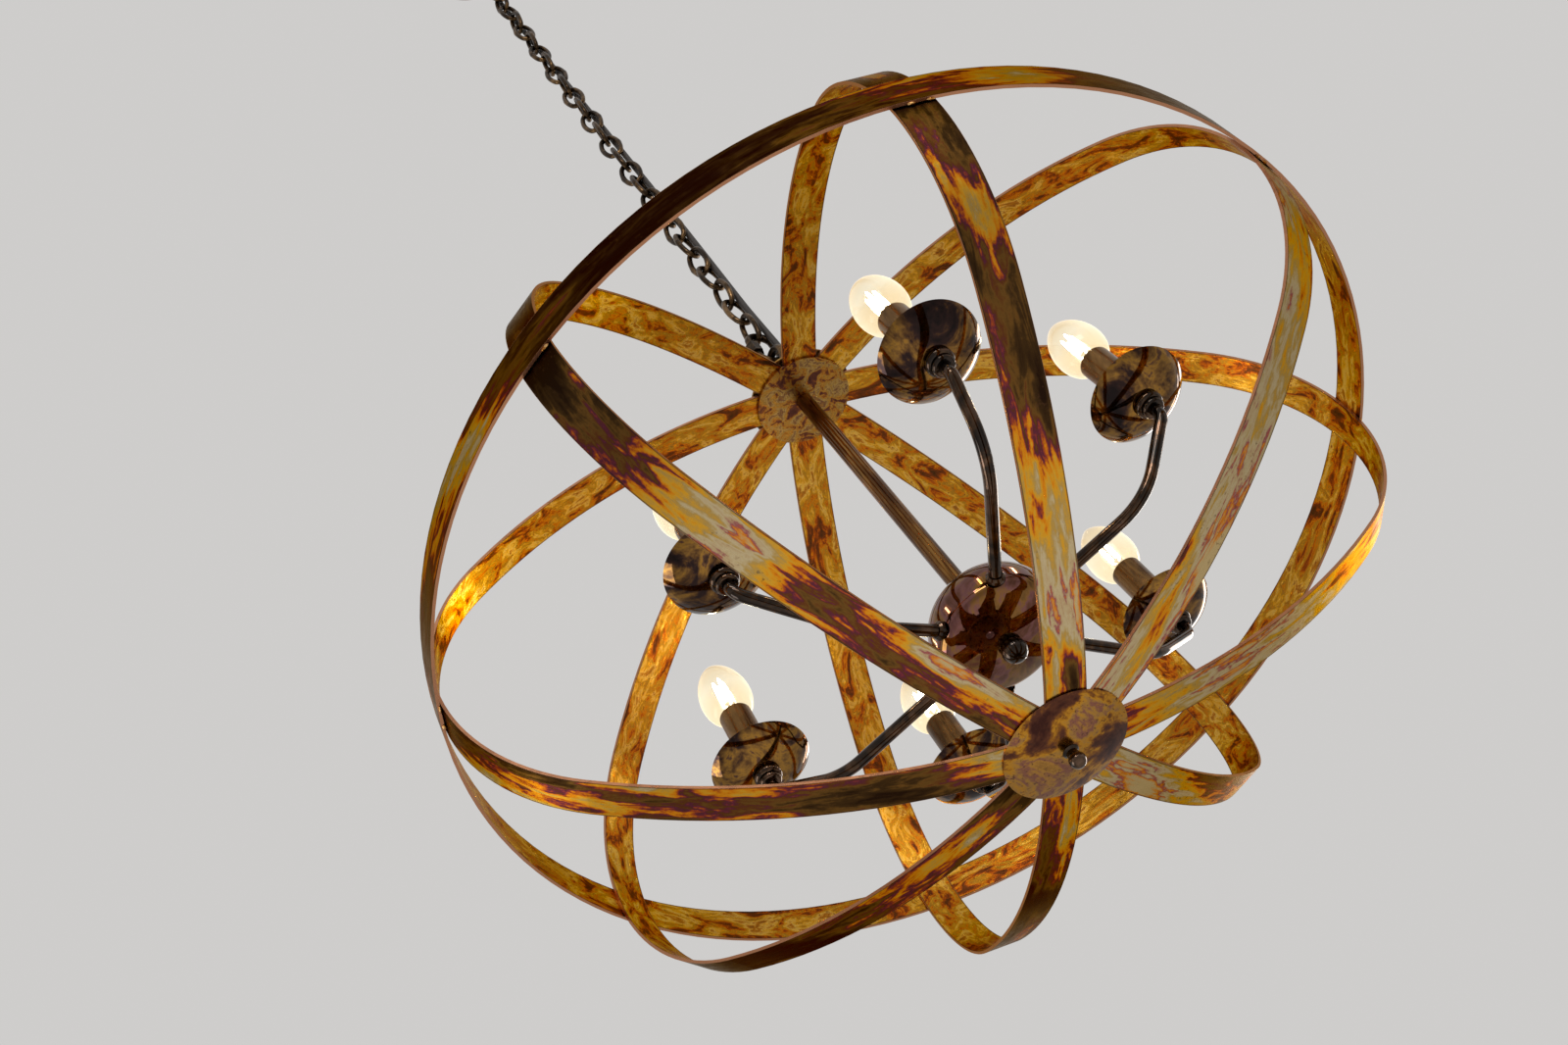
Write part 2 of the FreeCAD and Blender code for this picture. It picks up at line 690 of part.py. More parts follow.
ring_bore = d.cup_hole - 0.1
ring_top = -(d.cup_depth + 0.1)
turned("collar_ring", [
    (ring_bore, -ring_seat),
    (d.ring_radius - 0.8, -ring_seat),
    (d.ring_radius, 0.8 - ring_seat.value),
    (d.ring_radius, ring_top - 0.8),
    (d.ring_radius - 0.8, ring_top),
    (ring_bore, ring_top),
])


# ---- threaded tubes and locknuts -------------------------------------------------------

def threaded_tube(name, foot, top, place=Placement()):
    return turned(name, [
        (d.thread_bore, foot),
        (d.thread_radius, foot),
        (d.thread_radius, top),
        (d.thread_bore, top),
    ], place)


locknut_blank = doc.addObject("Part::Prism", "locknut_blank")
locknut_blank.Polygon = 6
bind(locknut_blank, Circumradius=d.nut_across / math.sqrt(3), Height=d.nut_thick)
locknut_bore = cylinder("locknut_bore", d.thread_hole, d.nut_thick + 2, -1)
locknut = own_shape(cut("locknut", locknut_blank, locknut_bore))

nipple_top = bridge_top + d.nut_thick + 1.5
threaded_tube("bracket_nipple", -(d.cup_depth + 2), nipple_top)
group("bracket_locknuts", placed_copies(locknut, [
    shift(bridge_top.value),
    shift(bracket_under.value - d.nut_thick.value),
]))


# ---- hub discs, bottom bolt and knob ---------------------------------------------------

inside_crown, _, _ = two_arc_bend(d.hoop_radius - half_strip, d.top_rise - half_strip,
                                  d.top_shoulder - half_strip)
pan_rim = level_at(inside_crown, d.top_rise - half_strip, d.inner_disc_radius) - 0.1
pan_floor = pan_rim - d.disc_thick - 0.5
turned("top_disc_inner", [
    (d.thread_hole, pan_floor),
    (d.inner_disc_radius, pan_floor),
    (d.inner_disc_radius, pan_rim),
    (d.inner_disc_radius - d.disc_thick, pan_rim),
    (d.inner_disc_radius - d.disc_thick, pan_floor + d.disc_thick),
    (d.thread_hole, pan_floor + d.disc_thick),
], orb_place)
turned("top_disc_outer", [
    (d.thread_hole, top_face),
    (d.top_disc_radius, top_face),
    (d.top_disc_radius, top_face + d.disc_thick),
    (d.thread_hole, top_face + d.disc_thick),
], orb_place)

low_inside = half_strip - d.low_rise
bolt_hole = d.bolt_radius + 0.1
turned("bottom_disc_inner", [
    (bolt_hole, low_inside + 2),
    (d.inner_disc_radius - 3, low_inside + 2),
    (d.inner_disc_radius, low_inside + 1.5),
    (d.inner_disc_radius, low_inside + 1.5 + d.disc_thick),
    (d.inner_disc_radius - 3, low_inside + 2 + d.disc_thick),
    (bolt_hole, low_inside + 2 + d.disc_thick),
], orb_place)

outside_crown, _, _ = two_arc_bend(d.hoop_radius + half_strip, d.low_rise + half_strip,
                                   d.low_shoulder + half_strip)
strap_level = level_at(outside_crown, d.low_rise + half_strip, d.low_disc_radius)
dome_rim = -strap_level - d.dome_thick - 0.1
dome_radius = (d.low_disc_radius * d.low_disc_radius
               + d.low_disc_sag * d.low_disc_sag) / (d.low_disc_sag * 2)
dome_outside = dome_rim - d.low_disc_sag
dome_centre = dome_outside + dome_radius
dome_inner_radius = dome_radius - d.dome_thick
dome_inner_rim = d.low_disc_radius - d.dome_thick / 2


def dome_level(radius, across):
    return dome_centre - square_root(radius * radius - across * across)


turned("bottom_disc_outer", [
    (bolt_hole, dome_level(dome_radius, bolt_hole), dome_radius),
    (d.low_disc_radius, dome_rim),
    (dome_inner_rim, dome_level(dome_inner_radius, dome_inner_rim), -dome_inner_radius),
    (bolt_hole, dome_level(dome_inner_radius, bolt_hole)),
], orb_place)

head_seat = low_inside + 2 + d.disc_thick
head_top = head_seat + d.bolt_head_depth
bolt_end = d.knob_height + 3
turned("bottom_bolt", [
    (0, bolt_end),
    (d.bolt_radius, bolt_end),
    (d.bolt_radius, head_seat),
    (d.bolt_head_radius, head_seat),
    (d.bolt_head_radius, head_top - 1),
    (d.bolt_head_radius - 1, head_top),
    (0, head_top),
], orb_place)

knob_seat = dome_outside - 0.1
neck_foot = d.knob_height + square_root(d.knob_radius * d.knob_radius - d.knob_neck * d.knob_neck)
turned("bottom_knob", [
    (0, d.knob_height - d.knob_radius, d.knob_radius),
    (d.knob_radius, d.knob_height, d.knob_radius),
    (d.knob_neck, neck_foot),
    (d.knob_neck, knob_seat - 1.2),
    (d.knob_neck + 1.4, knob_seat),
    (bolt_hole, knob_seat),
    (bolt_hole, bolt_end - 0.1),
    (0, bolt_end - 0.1),
], orb_place)


# ---- stem and body ---------------------------------------------------------------------

hub_tube = threaded_tube("hub_tube", pan_floor - 9, hub_seat + 8, orb_place)
body_tube = threaded_tube("body_tube", d.body_top - 11, d.body_top + 15, cluster_place)
group("cluster_nipples", [own_shape(hub_tube), own_shape(body_tube)])

stem_top = pan_floor - 0.6
turned("stem_tube", [
    (d.stem_bore, d.body_top + 0.1),
    (d.stem_radius, d.body_top + 0.1),
    (d.stem_radius, stem_top),
    (d.stem_bore, stem_top),
], cluster_place)

upper_rise = d.body_top - d.body_seam
crown, across, up = two_arc_bend(d.body_radius, upper_rise, d.upper_shoulder)
crown_in, across_in, up_in = two_arc_bend(d.body_radius - wall, upper_rise - wall,
                                          d.upper_shoulder - wall)
turned("body_top_shell", [
    (d.body_radius, 0, d.upper_shoulder),
    (across, up, crown),
    (d.thread_hole, level_at(crown, upper_rise, d.thread_hole)),
    (d.thread_hole, level_at(crown_in, upper_rise - wall, d.thread_hole), -crown_in),
    (across_in, up_in, wall - d.upper_shoulder),
    (d.body_radius - wall, 0),
], cluster_place.multiply(shift(d.body_seam.value)))

lower_rise = d.body_waist - d.body_bottom
wall_height = d.body_seam - d.body_waist
crown, across, up = two_arc_bend(d.body_radius, lower_rise, d.lower_shoulder)
crown_in, across_in, up_in = two_arc_bend(d.body_radius - wall, lower_rise - wall,
                                          d.lower_shoulder - wall)
lip_outside = d.body_radius - wall - 0.4
lip_inside = lip_outside - 1
bowl = turned("bowl", [
    (d.thread_hole, -level_at(crown, lower_rise, d.thread_hole), crown),
    (across, -up, d.lower_shoulder),
    (d.body_radius, 0),
    (d.body_radius, wall_height),
    (lip_outside, wall_height),
    (lip_outside, wall_height + 3),
    (lip_inside, wall_height + 3),
    (lip_inside, wall_height - 1),
    (d.body_radius - wall, wall_height - 2),
    (d.body_radius - wall, 0, wall - d.lower_shoulder),
    (across_in, -up_in, -crown_in),
    (d.thread_hole, -level_at(crown_in, lower_rise - wall, d.thread_hole)),
], cluster_place.multiply(shift(d.body_waist.value)))

finial_top = d.body_bottom - 0.05
ball = d.finial_radius
seat_rise = finial_top - d.finial_height
stud_top = d.body_bottom + 8
turned("body_finial", [
    (0, d.finial_height - ball, ball),
    (ball, d.finial_height, ball),
    (square_root(ball * ball - seat_rise * seat_rise), finial_top),
    (d.thread_radius, finial_top),
    (d.thread_radius, stud_top),
    (0, stud_top),
], cluster_place)

nut_under_crown = d.body_top - wall - 0.8 - d.nut_thick
nut_on_bowl = d.body_bottom + wall + 0.5
group("cluster_locknuts", placed_copies(locknut, [
    orb_place.multiply(shift(hub_nut_seat.value)),
    cluster_place.multiply(shift(nut_under_crown.value)),
    cluster_place.multiply(shift(nut_on_bowl.value)),
]))


# ---- arms ------------------------------------------------------------------------------

def upright_point(spot):
    return Vector(spot[0], 0, spot[1])


class ArmRoute:
    """The centre line of one arm, as distances from the cluster's axis and heights: a
    nearly level run out of the body, a long bend, a slanting run, a short bend under the
    collar and a run up the candle's own axis."""

    def __init__(self, number):
        self.direction = arm_direction(number)
        self.rim = candle_spot(number)
        self.root = (d.arm_root.value, d.arm_height.value)
        self.corner = ARM_CORNERS[number]
        self.slope = math.atan2(self.corner[1] - self.root[1], self.corner[0] - self.root[0])
        tilt = math.radians(d.candle_lean.value)
        self.axis = (-math.sin(tilt), math.cos(tilt))
        self.neck = self.along_axis(-d.dish_depth.value - d.collar_length.value
                                    - d.arm_neck_drop.value)

    def along_axis(self, height):
        return self.rim[0] + self.axis[0] * height, self.rim[1] + self.axis[1] * height

    def along_run(self, length):
        return (self.root[0] + length * math.cos(self.slope),
                self.root[1] + length * math.sin(self.slope))

    def path(self, start_length, end_height):
        spots = [self.along_run(start_length), self.corner, self.neck,
                 self.along_axis(end_height)]
        return filleted_path([upright_point(spot) for spot in spots],
                             [d.arm_bend.value, d.arm_neck.value])

    def place(self):
        return cluster_place.multiply(around(self.direction))

    def run_place(self, length):
        """A frame on the first run, with Z along the arm."""
        outwards = Rotation(Vector(0, 1, 0), 90 - math.degrees(self.slope))
        spot = Placement(upright_point(self.along_run(length)), outwards)
        return self.place().multiply(spot)


routes = [ArmRoute(number) for number in arms]
arm_end = 3 - d.dish_depth.value
wire_end = arm_end + 11
wire_start = d.junction_radius.value + 0.1 - d.arm_root.value
arm_wires = []
for number, route in enumerate(routes):
    outside = tube_along(route.path(0, arm_end), d.arm_radius.value)
    inside = tube_along(route.path(0, arm_end), d.arm_bore.value)
    arm = doc.addObject("Part::Feature", "arm_%d" % (number + 1))
    arm.Shape = outside.cut(inside)
    arm.Placement = route.place()
    wire = tube_along(route.path(wire_start, wire_end), d.wire_radius.value)
    arm_wires.append(wire.transformed(route.place().toMatrix(), True))

hole_radius = d.arm_radius + 0.15
wall_crossing = d.body_radius.value - d.arm_root.value
hole_length = 12
arm_holes = [
    cylinder("arm_hole_%d" % (number + 1), hole_radius, hole_length, -hole_length / 2,
             route.run_place(wall_crossing))
    for number, route in enumerate(routes)
]
cut("body_bottom_shell", bowl, fuse("arm_holes", arm_holes))

ferrule = own_shape(turned("ferrule", [
    (hole_radius, 0),
    (d.ferrule_radius, 0),
    (d.ferrule_radius, d.ferrule_length - 1.5),
    (d.ferrule_radius - 1.2, d.ferrule_length),
    (hole_radius, d.ferrule_length),
]))
ferrule_spot = wall_crossing + 0.6
group("arm_ferrules", placed_copies(ferrule, [r.run_place(ferrule_spot) for r in routes]))


# ---- candles ---------------------------------------------------------------------------

def bowl_bend(rim, flat, depth):
    """Radius of a bend that leaves a flat level and reaches a rim."""
    return ((rim - flat) * (rim - flat) + depth * depth) / (depth * 2)


dish_inner_rim = d.dish_radius - wall
dish_inner_depth = d.dish_depth - wall
for number, place in enumerate(candle_places):
    turned("candle_dish_%d" % (number + 1), [
        (hole_radius, -d.dish_depth),
        (d.dish_flat, -d.dish_depth, bowl_bend(d.dish_radius, d.dish_flat, d.dish_depth)),
        (d.dish_radius, 0),
        (dish_inner_rim, 0, -bowl_bend(dish_inner_rim, d.dish_flat, dish_inner_depth)),
        (d.dish_flat, -dish_inner_depth),
        (hole_radius, -dish_inner_depth),
    ], place)

collar_top = -d.dish_depth - 0.1
collar_foot = collar_top - d.collar_length
bead_joint = collar_foot + 4
collar = own_shape(turned("collar", [
    (hole_radius, collar_foot),
    (d.collar_radius - 4.2, collar_foot, 2.3),
    (d.collar_radius - 3.6, bead_joint),
    (d.collar_radius - 2.6, bead_joint, 2.9),
    (d.collar_radius - 1.8, collar_top),
    (hole_radius, collar_top),
]))
group("dish_collars", placed_copies(collar, candle_places))

sleeve_foot = -dish_inner_depth + 0.25
sleeve_inside = d.sleeve_radius - d.sleeve_thick
sleeve = own_shape(turned("sleeve", [
    (sleeve_inside, sleeve_foot),
    (d.sleeve_radius, sleeve_foot),
    (d.sleeve_radius, d.sleeve_top),
    (sleeve_inside, d.sleeve_top),
]))
group("candle_sleeves", placed_copies(sleeve, candle_places))

holder_seat = -dish_inner_depth + 0.1
holder = own_shape(turned("holder", [
    (hole_radius, holder_seat),
    (d.holder_foot, holder_seat),
    (d.holder_foot, d.holder_floor - 6),
    (d.holder_radius, d.holder_floor - 6),
    (d.holder_radius, d.holder_top),
    (d.holder_socket, d.holder_top),
    (d.holder_socket, d.holder_floor),
    (2, d.holder_floor),
    (2, arm_end + 0.2),
    (hole_radius, arm_end + 0.2),
]))
group("lampholders", placed_copies(holder, candle_places))


def belly_bend(across, up):
    """Radius of a bend that starts upright at the belly and draws in by across."""
    return (across * across + up * up) / (across * 2)


belly_rise = d.bulb_belly - d.bulb_base
inner_neck = d.bulb_neck - d.glass_thick
inner_base = d.bulb_base + d.glass_thick
stalk_radius = 2.6
stalk_hole = stalk_radius + 0.2

# The flank of the flame shape runs tangent into a small round tip.
tip_centre = d.bulb_tip - d.bulb_tip_radius
flank_rise = tip_centre - d.bulb_belly
flank = ((d.bulb_radius * d.bulb_radius + flank_rise * flank_rise
          - d.bulb_tip_radius * d.bulb_tip_radius)
         / ((d.bulb_radius - d.bulb_tip_radius) * 2))


def tip_start(tip_radius):
    share = tip_radius / (flank - d.bulb_tip_radius)
    return share * (flank - d.bulb_radius), tip_centre + share * flank_rise


inner_belly = d.bulb_radius - d.glass_thick
inner_tip_radius = d.bulb_tip_radius - d.glass_thick
glass = own_shape(turned("bulb_glass", [
    (stalk_hole, d.bulb_base),
    (d.bulb_neck, d.bulb_base, belly_bend(d.bulb_radius - d.bulb_neck, belly_rise)),
    (d.bulb_radius, d.bulb_belly, flank),
    (*tip_start(d.bulb_tip_radius), d.bulb_tip_radius),
    (0, d.bulb_tip),
    (0, d.bulb_tip - d.glass_thick, -inner_tip_radius),
    (*tip_start(inner_tip_radius), d.glass_thick - flank),
    (inner_belly, d.bulb_belly, -belly_bend(inner_belly - inner_neck,
                                            d.bulb_belly - inner_base)),
    (inner_neck, inner_base),
    (stalk_hole, inner_base),
]))
cap_foot = d.holder_floor + 1
screw_cap = own_shape(turned("bulb_cap", [
    (0, cap_foot),
    (3, cap_foot),
    (d.cap_radius, cap_foot + 4),
    (d.cap_radius, d.bulb_base - 3),
    (d.bulb_neck, d.bulb_base - 0.1),
    (0, d.bulb_base - 0.1),
]))
plate_height = d.bulb_base + 9
filament_height = 24
stalk = turned("bulb_stalk", [
    (0, d.bulb_base),
    (stalk_radius, d.bulb_base),
    (stalk_radius, plate_height),
    (d.filament_ring + 1, plate_height),
    (d.filament_ring + 1, plate_height + 1),
    (0, plate_height + 1),
])
filaments = [
    cylinder("filament_%d" % (turn + 1), d.filament_radius, filament_height, plate_height,
             around(45 + 90 * turn, d.filament_ring.value))
    for turn in range(4)
]
filament_stand = own_shape(fuse("filament_stand", [stalk, *filaments]))
for number, place in enumerate(candle_places):
    group("bulb_%d" % (number + 1), [glass, screw_cap, filament_stand], place)


# ---- supply cable and inner wires ------------------------------------------------------

def cable_point(offset, direction, height):
    angle = math.radians(direction)
    return Vector(offset * math.cos(angle), offset * math.sin(angle), height - d.drop.value)


def cable_direction(height):
    """The free corner between the links, which turns slowly with the twist of the chain."""
    links_up = (height - d.link_base.value) / d.link_pitch.value - 0.5
    slow_turn = d.link_turn.value - 90
    return d.first_link_turn.value + 45 + slow_turn * max(links_up, 0)


def beside(height, offset=d.cable_offset.value):
    return cable_point(offset, cable_direction(height), height)


def on_axis(height):
    return cable_point(0, 0, height)


def halfway(first, second):
    return (first + second) * 0.5


# The cable is held in three stretches: one along the chain, and a free tail at each end.
low_offset = d.cable_low_offset.value
lowest_point = beside(d.cable_low_bend.value, low_offset)
run_start = d.cable_run_start.value
run_steps = int((d.cable_run_end.value - run_start) / d.cable_run_step.value)
chain_points = [beside(run_start + step * d.cable_run_step.value) for step in range(run_steps + 1)]
low_cut = halfway(lowest_point, chain_points[0])
high_cut = halfway(chain_points[-2], chain_points[-1])
supply_path = rounded_path("supply_cable", [low_cut, *chain_points[:-1], high_cut])
supply_cable = doc.addObject("Part::Feature", "supply_cable")
supply_cable.Shape = tube_along(supply_path, d.cable_radius.value)

hub_cable_end = hub_seat.value + 12
low_tail = rounded_path("cable_bottom_tail", [
    low_cut,
    lowest_point,
    beside(d.cable_low_turn.value, low_offset),
    on_axis(d.cable_low_axis.value),
    on_axis(hub_cable_end),
])
cable_bottom_tail = doc.addObject("Part::Feature", "cable_bottom_tail")
cable_bottom_tail.Shape = tube_along(low_tail, d.cable_radius.value)

jacket_end = nipple_top.value - 1
top_tail = rounded_path("cable_top_tail", [
    high_cut,
    chain_points[-1],
    beside(d.cable_top_turn.value, d.cable_top_offset.value),
    on_axis(d.cable_top_axis.value),
    Vector(0, 0, jacket_end),
])
block_side = block_corner.y - 0.9
cores = []
for step in (-1, 0, 1):
    core_path = rounded_path("core", [
        Vector(step * d.core_start_step.value, -0.4 * step * step, jacket_end + 0.05),
        Vector(step * d.core_bend_step.value, 1, nipple_top.value + 4.5),
        Vector(step * d.core_end_step.value, block_side, nipple_top.value - 1.5),
    ])
    cores.append(tube_along(core_path, d.core_radius.value))
group("cable_top_tail", [tube_along(top_tail, d.cable_radius.value), *cores])

junction_foot = d.junction_height - d.junction_depth / 2
junction_top = d.junction_height + d.junction_depth / 2
cylinder("junction_block", d.junction_radius, d.junction_depth, junction_foot, cluster_place)
stem_cable = rounded_path("stem cable", [
    on_axis(hub_cable_end),
    on_axis(d.top_rise.value),
    cluster_place.multVec(Vector(0, 0, junction_top.value + 0.1)),
])
group("inner_wires", [tube_along(stem_cable, d.cable_radius.value), *arm_wires])


# ---- check and write -------------------------------------------------------------------

NODES = [
    "ceiling_bracket", "bracket_nipple", "bracket_locknuts", "ceiling_cup", "collar_ring",
    "ceiling_loop", "terminal_block",
    "top_link", "chain_links", "quick_link", "quick_link_nut",
    "supply_cable", "cable_top_tail", "cable_bottom_tail",
    "hub_loop", "cluster_locknuts", "cluster_nipples", "top_disc_outer", "top_disc_inner",
    "equator_band",
    "bottom_disc_inner", "bottom_disc_outer", "bottom_bolt", "bottom_knob",
    "stem_tube", "body_top_shell", "body_bottom_shell", "body_finial", "arm_ferrules",
    "dish_collars", "candle_sleeves", "lampholders", "inner_wires", "junction_block",
]
NODES += ["half_hoop_%d" % (number + 1) for number in range(int(d.hoop_count.value))]
for family in ("arm", "candle_dish", "bulb"):
    NODES += ["%s_%d" % (family, number + 1) for number in arms]

doc.recompute()
failed = [item.Name for item in doc.Objects if {"Invalid", "Error"} & set(item.State)]
if failed:
    raise RuntimeError("failed objects: %s" % failed)
for name in NODES:
    shape = doc.getObject(name).Shape
    if shape.isNull() or not shape.isValid() or not shape.Solids:
        raise RuntimeError("bad shape: %s" % name)

os.makedirs("parts", exist_ok=True)
for name in NODES:
    doc.getObject(name).Label = name
    doc.getObject(name).Shape.exportStep("parts/%s.step" % name)
print("%d nodes written" % len(NODES))
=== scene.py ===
import json
import math
import random

import bmesh
import bpy
from mathutils import Matrix, Vector, noise


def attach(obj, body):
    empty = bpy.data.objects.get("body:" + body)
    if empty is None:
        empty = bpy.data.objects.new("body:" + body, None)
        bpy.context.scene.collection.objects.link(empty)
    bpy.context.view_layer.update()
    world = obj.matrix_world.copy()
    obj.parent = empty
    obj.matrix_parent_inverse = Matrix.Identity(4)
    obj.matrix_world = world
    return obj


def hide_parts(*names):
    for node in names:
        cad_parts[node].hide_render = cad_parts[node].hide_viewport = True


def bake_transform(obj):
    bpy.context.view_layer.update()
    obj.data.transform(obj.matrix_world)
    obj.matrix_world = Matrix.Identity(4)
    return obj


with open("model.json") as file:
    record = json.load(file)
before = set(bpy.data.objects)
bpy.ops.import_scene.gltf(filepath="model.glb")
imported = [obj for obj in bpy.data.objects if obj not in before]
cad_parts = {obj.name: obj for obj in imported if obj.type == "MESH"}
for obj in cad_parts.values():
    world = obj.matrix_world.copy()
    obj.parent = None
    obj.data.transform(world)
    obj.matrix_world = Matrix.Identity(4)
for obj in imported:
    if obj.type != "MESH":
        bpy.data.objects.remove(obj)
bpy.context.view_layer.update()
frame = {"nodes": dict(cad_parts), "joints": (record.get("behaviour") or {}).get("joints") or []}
nodes = frame["nodes"]
scene = bpy.context.scene


# ---- camera -------------------------------------------------------------------------

CAMERA_AT = (0.27195, -0.81750, -2.11395)
CAMERA_RIGHT = Vector((0.60205, 0.70833, -0.36852))
CAMERA_UP = Vector((0.75782, -0.36153, 0.54315))
FOCAL_PIXELS = 1935.3
IMAGE_WIDTH = 1600
SENSOR = 36.0
CLIP_START = 0.05
CLIP_END = 60

camera_data = bpy.data.cameras.new("camera")
camera_data.sensor_width = SENSOR
camera_data.lens = FOCAL_PIXELS / IMAGE_WIDTH * SENSOR
camera_data.clip_start = CLIP_START
camera_data.clip_end = CLIP_END
camera = bpy.data.objects.new("camera", camera_data)
scene.collection.objects.link(camera)
right = CAMERA_RIGHT.normalized()
back = right.cross(CAMERA_UP).normalized()
up = back.cross(right)
camera_turn = Matrix((right, up, back)).transposed()
camera.matrix_world = Matrix.Translation(CAMERA_AT) @ camera_turn.to_4x4()
scene.camera = camera
scene.view_settings.view_transform = "Standard"


# ---- node helpers -------------------------------------------------------------------

class Shader:
    """A material being wired: each call adds one node and returns an output socket."""

    def __init__(self, name):
        self.material = bpy.data.materials.new(name)
        self.material.use_nodes = True
        self.tree = self.material.node_tree
        self.tree.nodes.clear()
        self.output = self.tree.nodes.new("ShaderNodeOutputMaterial")

    def feed(self, socket, value):
        if isinstance(value, bpy.types.NodeSocket):
            self.tree.links.new(value, socket)
        elif value is not None:
            socket.default_value = value

    def math(self, operation, first, second=None):
        node = self.tree.nodes.new("ShaderNodeMath")
        node.operation = operation
        self.feed(node.inputs[0], first)
        self.feed(node.inputs[1], second)
        return node.outputs[0]

    def vector(self, operation, first, second=None):
        node = self.tree.nodes.new("ShaderNodeVectorMath")
        node.operation = operation
        self.feed(node.inputs[0], first)
        self.feed(node.inputs[1], second)
        return node.outputs["Value" if operation == "DOT_PRODUCT" else "Vector"]

    def split(self, vector):
        node = self.tree.nodes.new("ShaderNodeSeparateXYZ")
        self.feed(node.inputs[0], vector)
        return node.outputs

    def join(self, x, y, z):
        node = self.tree.nodes.new("ShaderNodeCombineXYZ")
        for socket, value in zip(node.inputs, (x, y, z)):
            self.feed(socket, value)
        return node.outputs[0]

    def place(self, kind="Object"):
        return self.tree.nodes.new("ShaderNodeTexCoord").outputs[kind]

    def noise(self, vector, scale, detail=4.0, roughness=0.55, distortion=0.0):
        node = self.tree.nodes.new("ShaderNodeTexNoise")
        self.feed(node.inputs["Vector"], vector)
        node.inputs["Scale"].default_value = scale
        node.inputs["Detail"].default_value = detail
        node.inputs["Roughness"].default_value = roughness
        node.inputs["Distortion"].default_value = distortion
        return node.outputs["Fac"]

    def ramp(self, value, stops):
        node = self.tree.nodes.new("ShaderNodeValToRGB")
        self.feed(node.inputs["Fac"], value)
        elements = node.color_ramp.elements
        while len(elements) < len(stops):
            elements.new(0.5)
        for element, (position, colour) in zip(elements, stops):
            element.position = position
            element.color = (*colour, 1)
        return node.outputs["Color"]

    def rescale(self, value, low, high, new_low=0.0, new_high=1.0):
        node = self.tree.nodes.new("ShaderNodeMapRange")
        for socket, part in zip(node.inputs, (value, low, high, new_low, new_high)):
            self.feed(socket, part)
        return node.outputs[0]

    def mix(self, share, first, second, blend="MIX"):
        node = self.tree.nodes.new("ShaderNodeMix")
        node.data_type = "RGBA"
        node.blend_type = blend
        self.feed(node.inputs[0], share)
        for socket, value in ((node.inputs[6], first), (node.inputs[7], second)):
            if isinstance(value, tuple):
                value = (*value, 1)
            self.feed(socket, value)
        return node.outputs[2]

    def bump(self, height, strength, distance):
        node = self.tree.nodes.new("ShaderNodeBump")
        node.inputs["Strength"].default_value = strength
        node.inputs["Distance"].default_value = distance
        self.feed(node.inputs["Height"], height)
        return node.outputs[0]

    def surface(self, **sockets):
        node = self.tree.nodes.new("ShaderNodeBsdfPrincipled")
        for name, value in sockets.items():
            if isinstance(value, tuple):
                value = (*value, 1)
            self.feed(node.inputs[name.replace("_", " ")], value)
        self.tree.links.new(node.outputs[0], self.output.inputs["Surface"])
        return self.material


# ---- stage and light ----------------------------------------------------------------

BACKDROP = (0.62, 0.61, 0.60)
LIGHT_COLOUR = (1.0, 0.98, 0.95)
LIGHT_LEVEL = 0.50
FLOOR_HEIGHT = -3.7
FLOOR_HALF = 28
FLOOR_COLOURS = [(0.3, (0.88, 0.87, 0.86)), (0.7, (0.91, 0.90, 0.89))]
FLOOR_GRAIN = 3.0
FLOOR_ROUGHNESS = 0.9
ORB_CENTRE = (0, 0, -1.23)
# Name, place, width and height, watts, colour.
LAMPS = (
    ("key", (1.9, -2.3, -0.2), (1.6, 1.1), 55, (1.0, 0.97, 0.93)),
    ("fill", (-2.4, -1.2, -1.9), (1.8, 1.2), 26, (0.95, 0.97, 1.0)),
    ("rim", (0.4, 2.6, -0.6), (1.8, 1.0), 30, (1.0, 0.96, 0.9)),
)

# The camera, glossy and see-through rays meet the backdrop, all others the plain light.
world = bpy.data.worlds.new("studio")
world.use_nodes = True
scene.world = world
tree = world.node_tree
tree.nodes.clear()
rays = tree.nodes.new("ShaderNodeLightPath")
seen = tree.nodes.new("ShaderNodeMath")
seen.operation = "MAXIMUM"
tree.links.new(rays.outputs["Is Camera Ray"], seen.inputs[0])
shiny = tree.nodes.new("ShaderNodeMath")
shiny.operation = "MAXIMUM"
tree.links.new(rays.outputs["Is Glossy Ray"], shiny.inputs[0])
tree.links.new(rays.outputs["Is Transmission Ray"], shiny.inputs[1])
tree.links.new(shiny.outputs[0], seen.inputs[1])
backdrop = tree.nodes.new("ShaderNodeBackground")
backdrop.inputs["Color"].default_value = (*BACKDROP, 1)
ambient = tree.nodes.new("ShaderNodeBackground")
ambient.inputs["Color"].default_value = (*LIGHT_COLOUR, 1)
ambient.inputs["Strength"].default_value = LIGHT_LEVEL
either = tree.nodes.new("ShaderNodeMixShader")
tree.links.new(seen.outputs[0], either.inputs[0])
tree.links.new(ambient.outputs[0], either.inputs[1])
tree.links.new(backdrop.outputs[0], either.inputs[2])
tree.links.new(either.outputs[0], tree.nodes.new("ShaderNodeOutputWorld").inputs[0])


def mesh_piece(name, points, faces, smooth=True):
    """An object in the scene from points in metres and faces."""
    mesh = bpy.data.meshes.new(name)
    mesh.from_pydata(points, [], faces)
    mesh.update()
    if smooth:
        mesh.shade_smooth()
    else:
        mesh.shade_flat()
    piece = bpy.data.objects.new(name, mesh)
    scene.collection.objects.link(piece)
    return piece


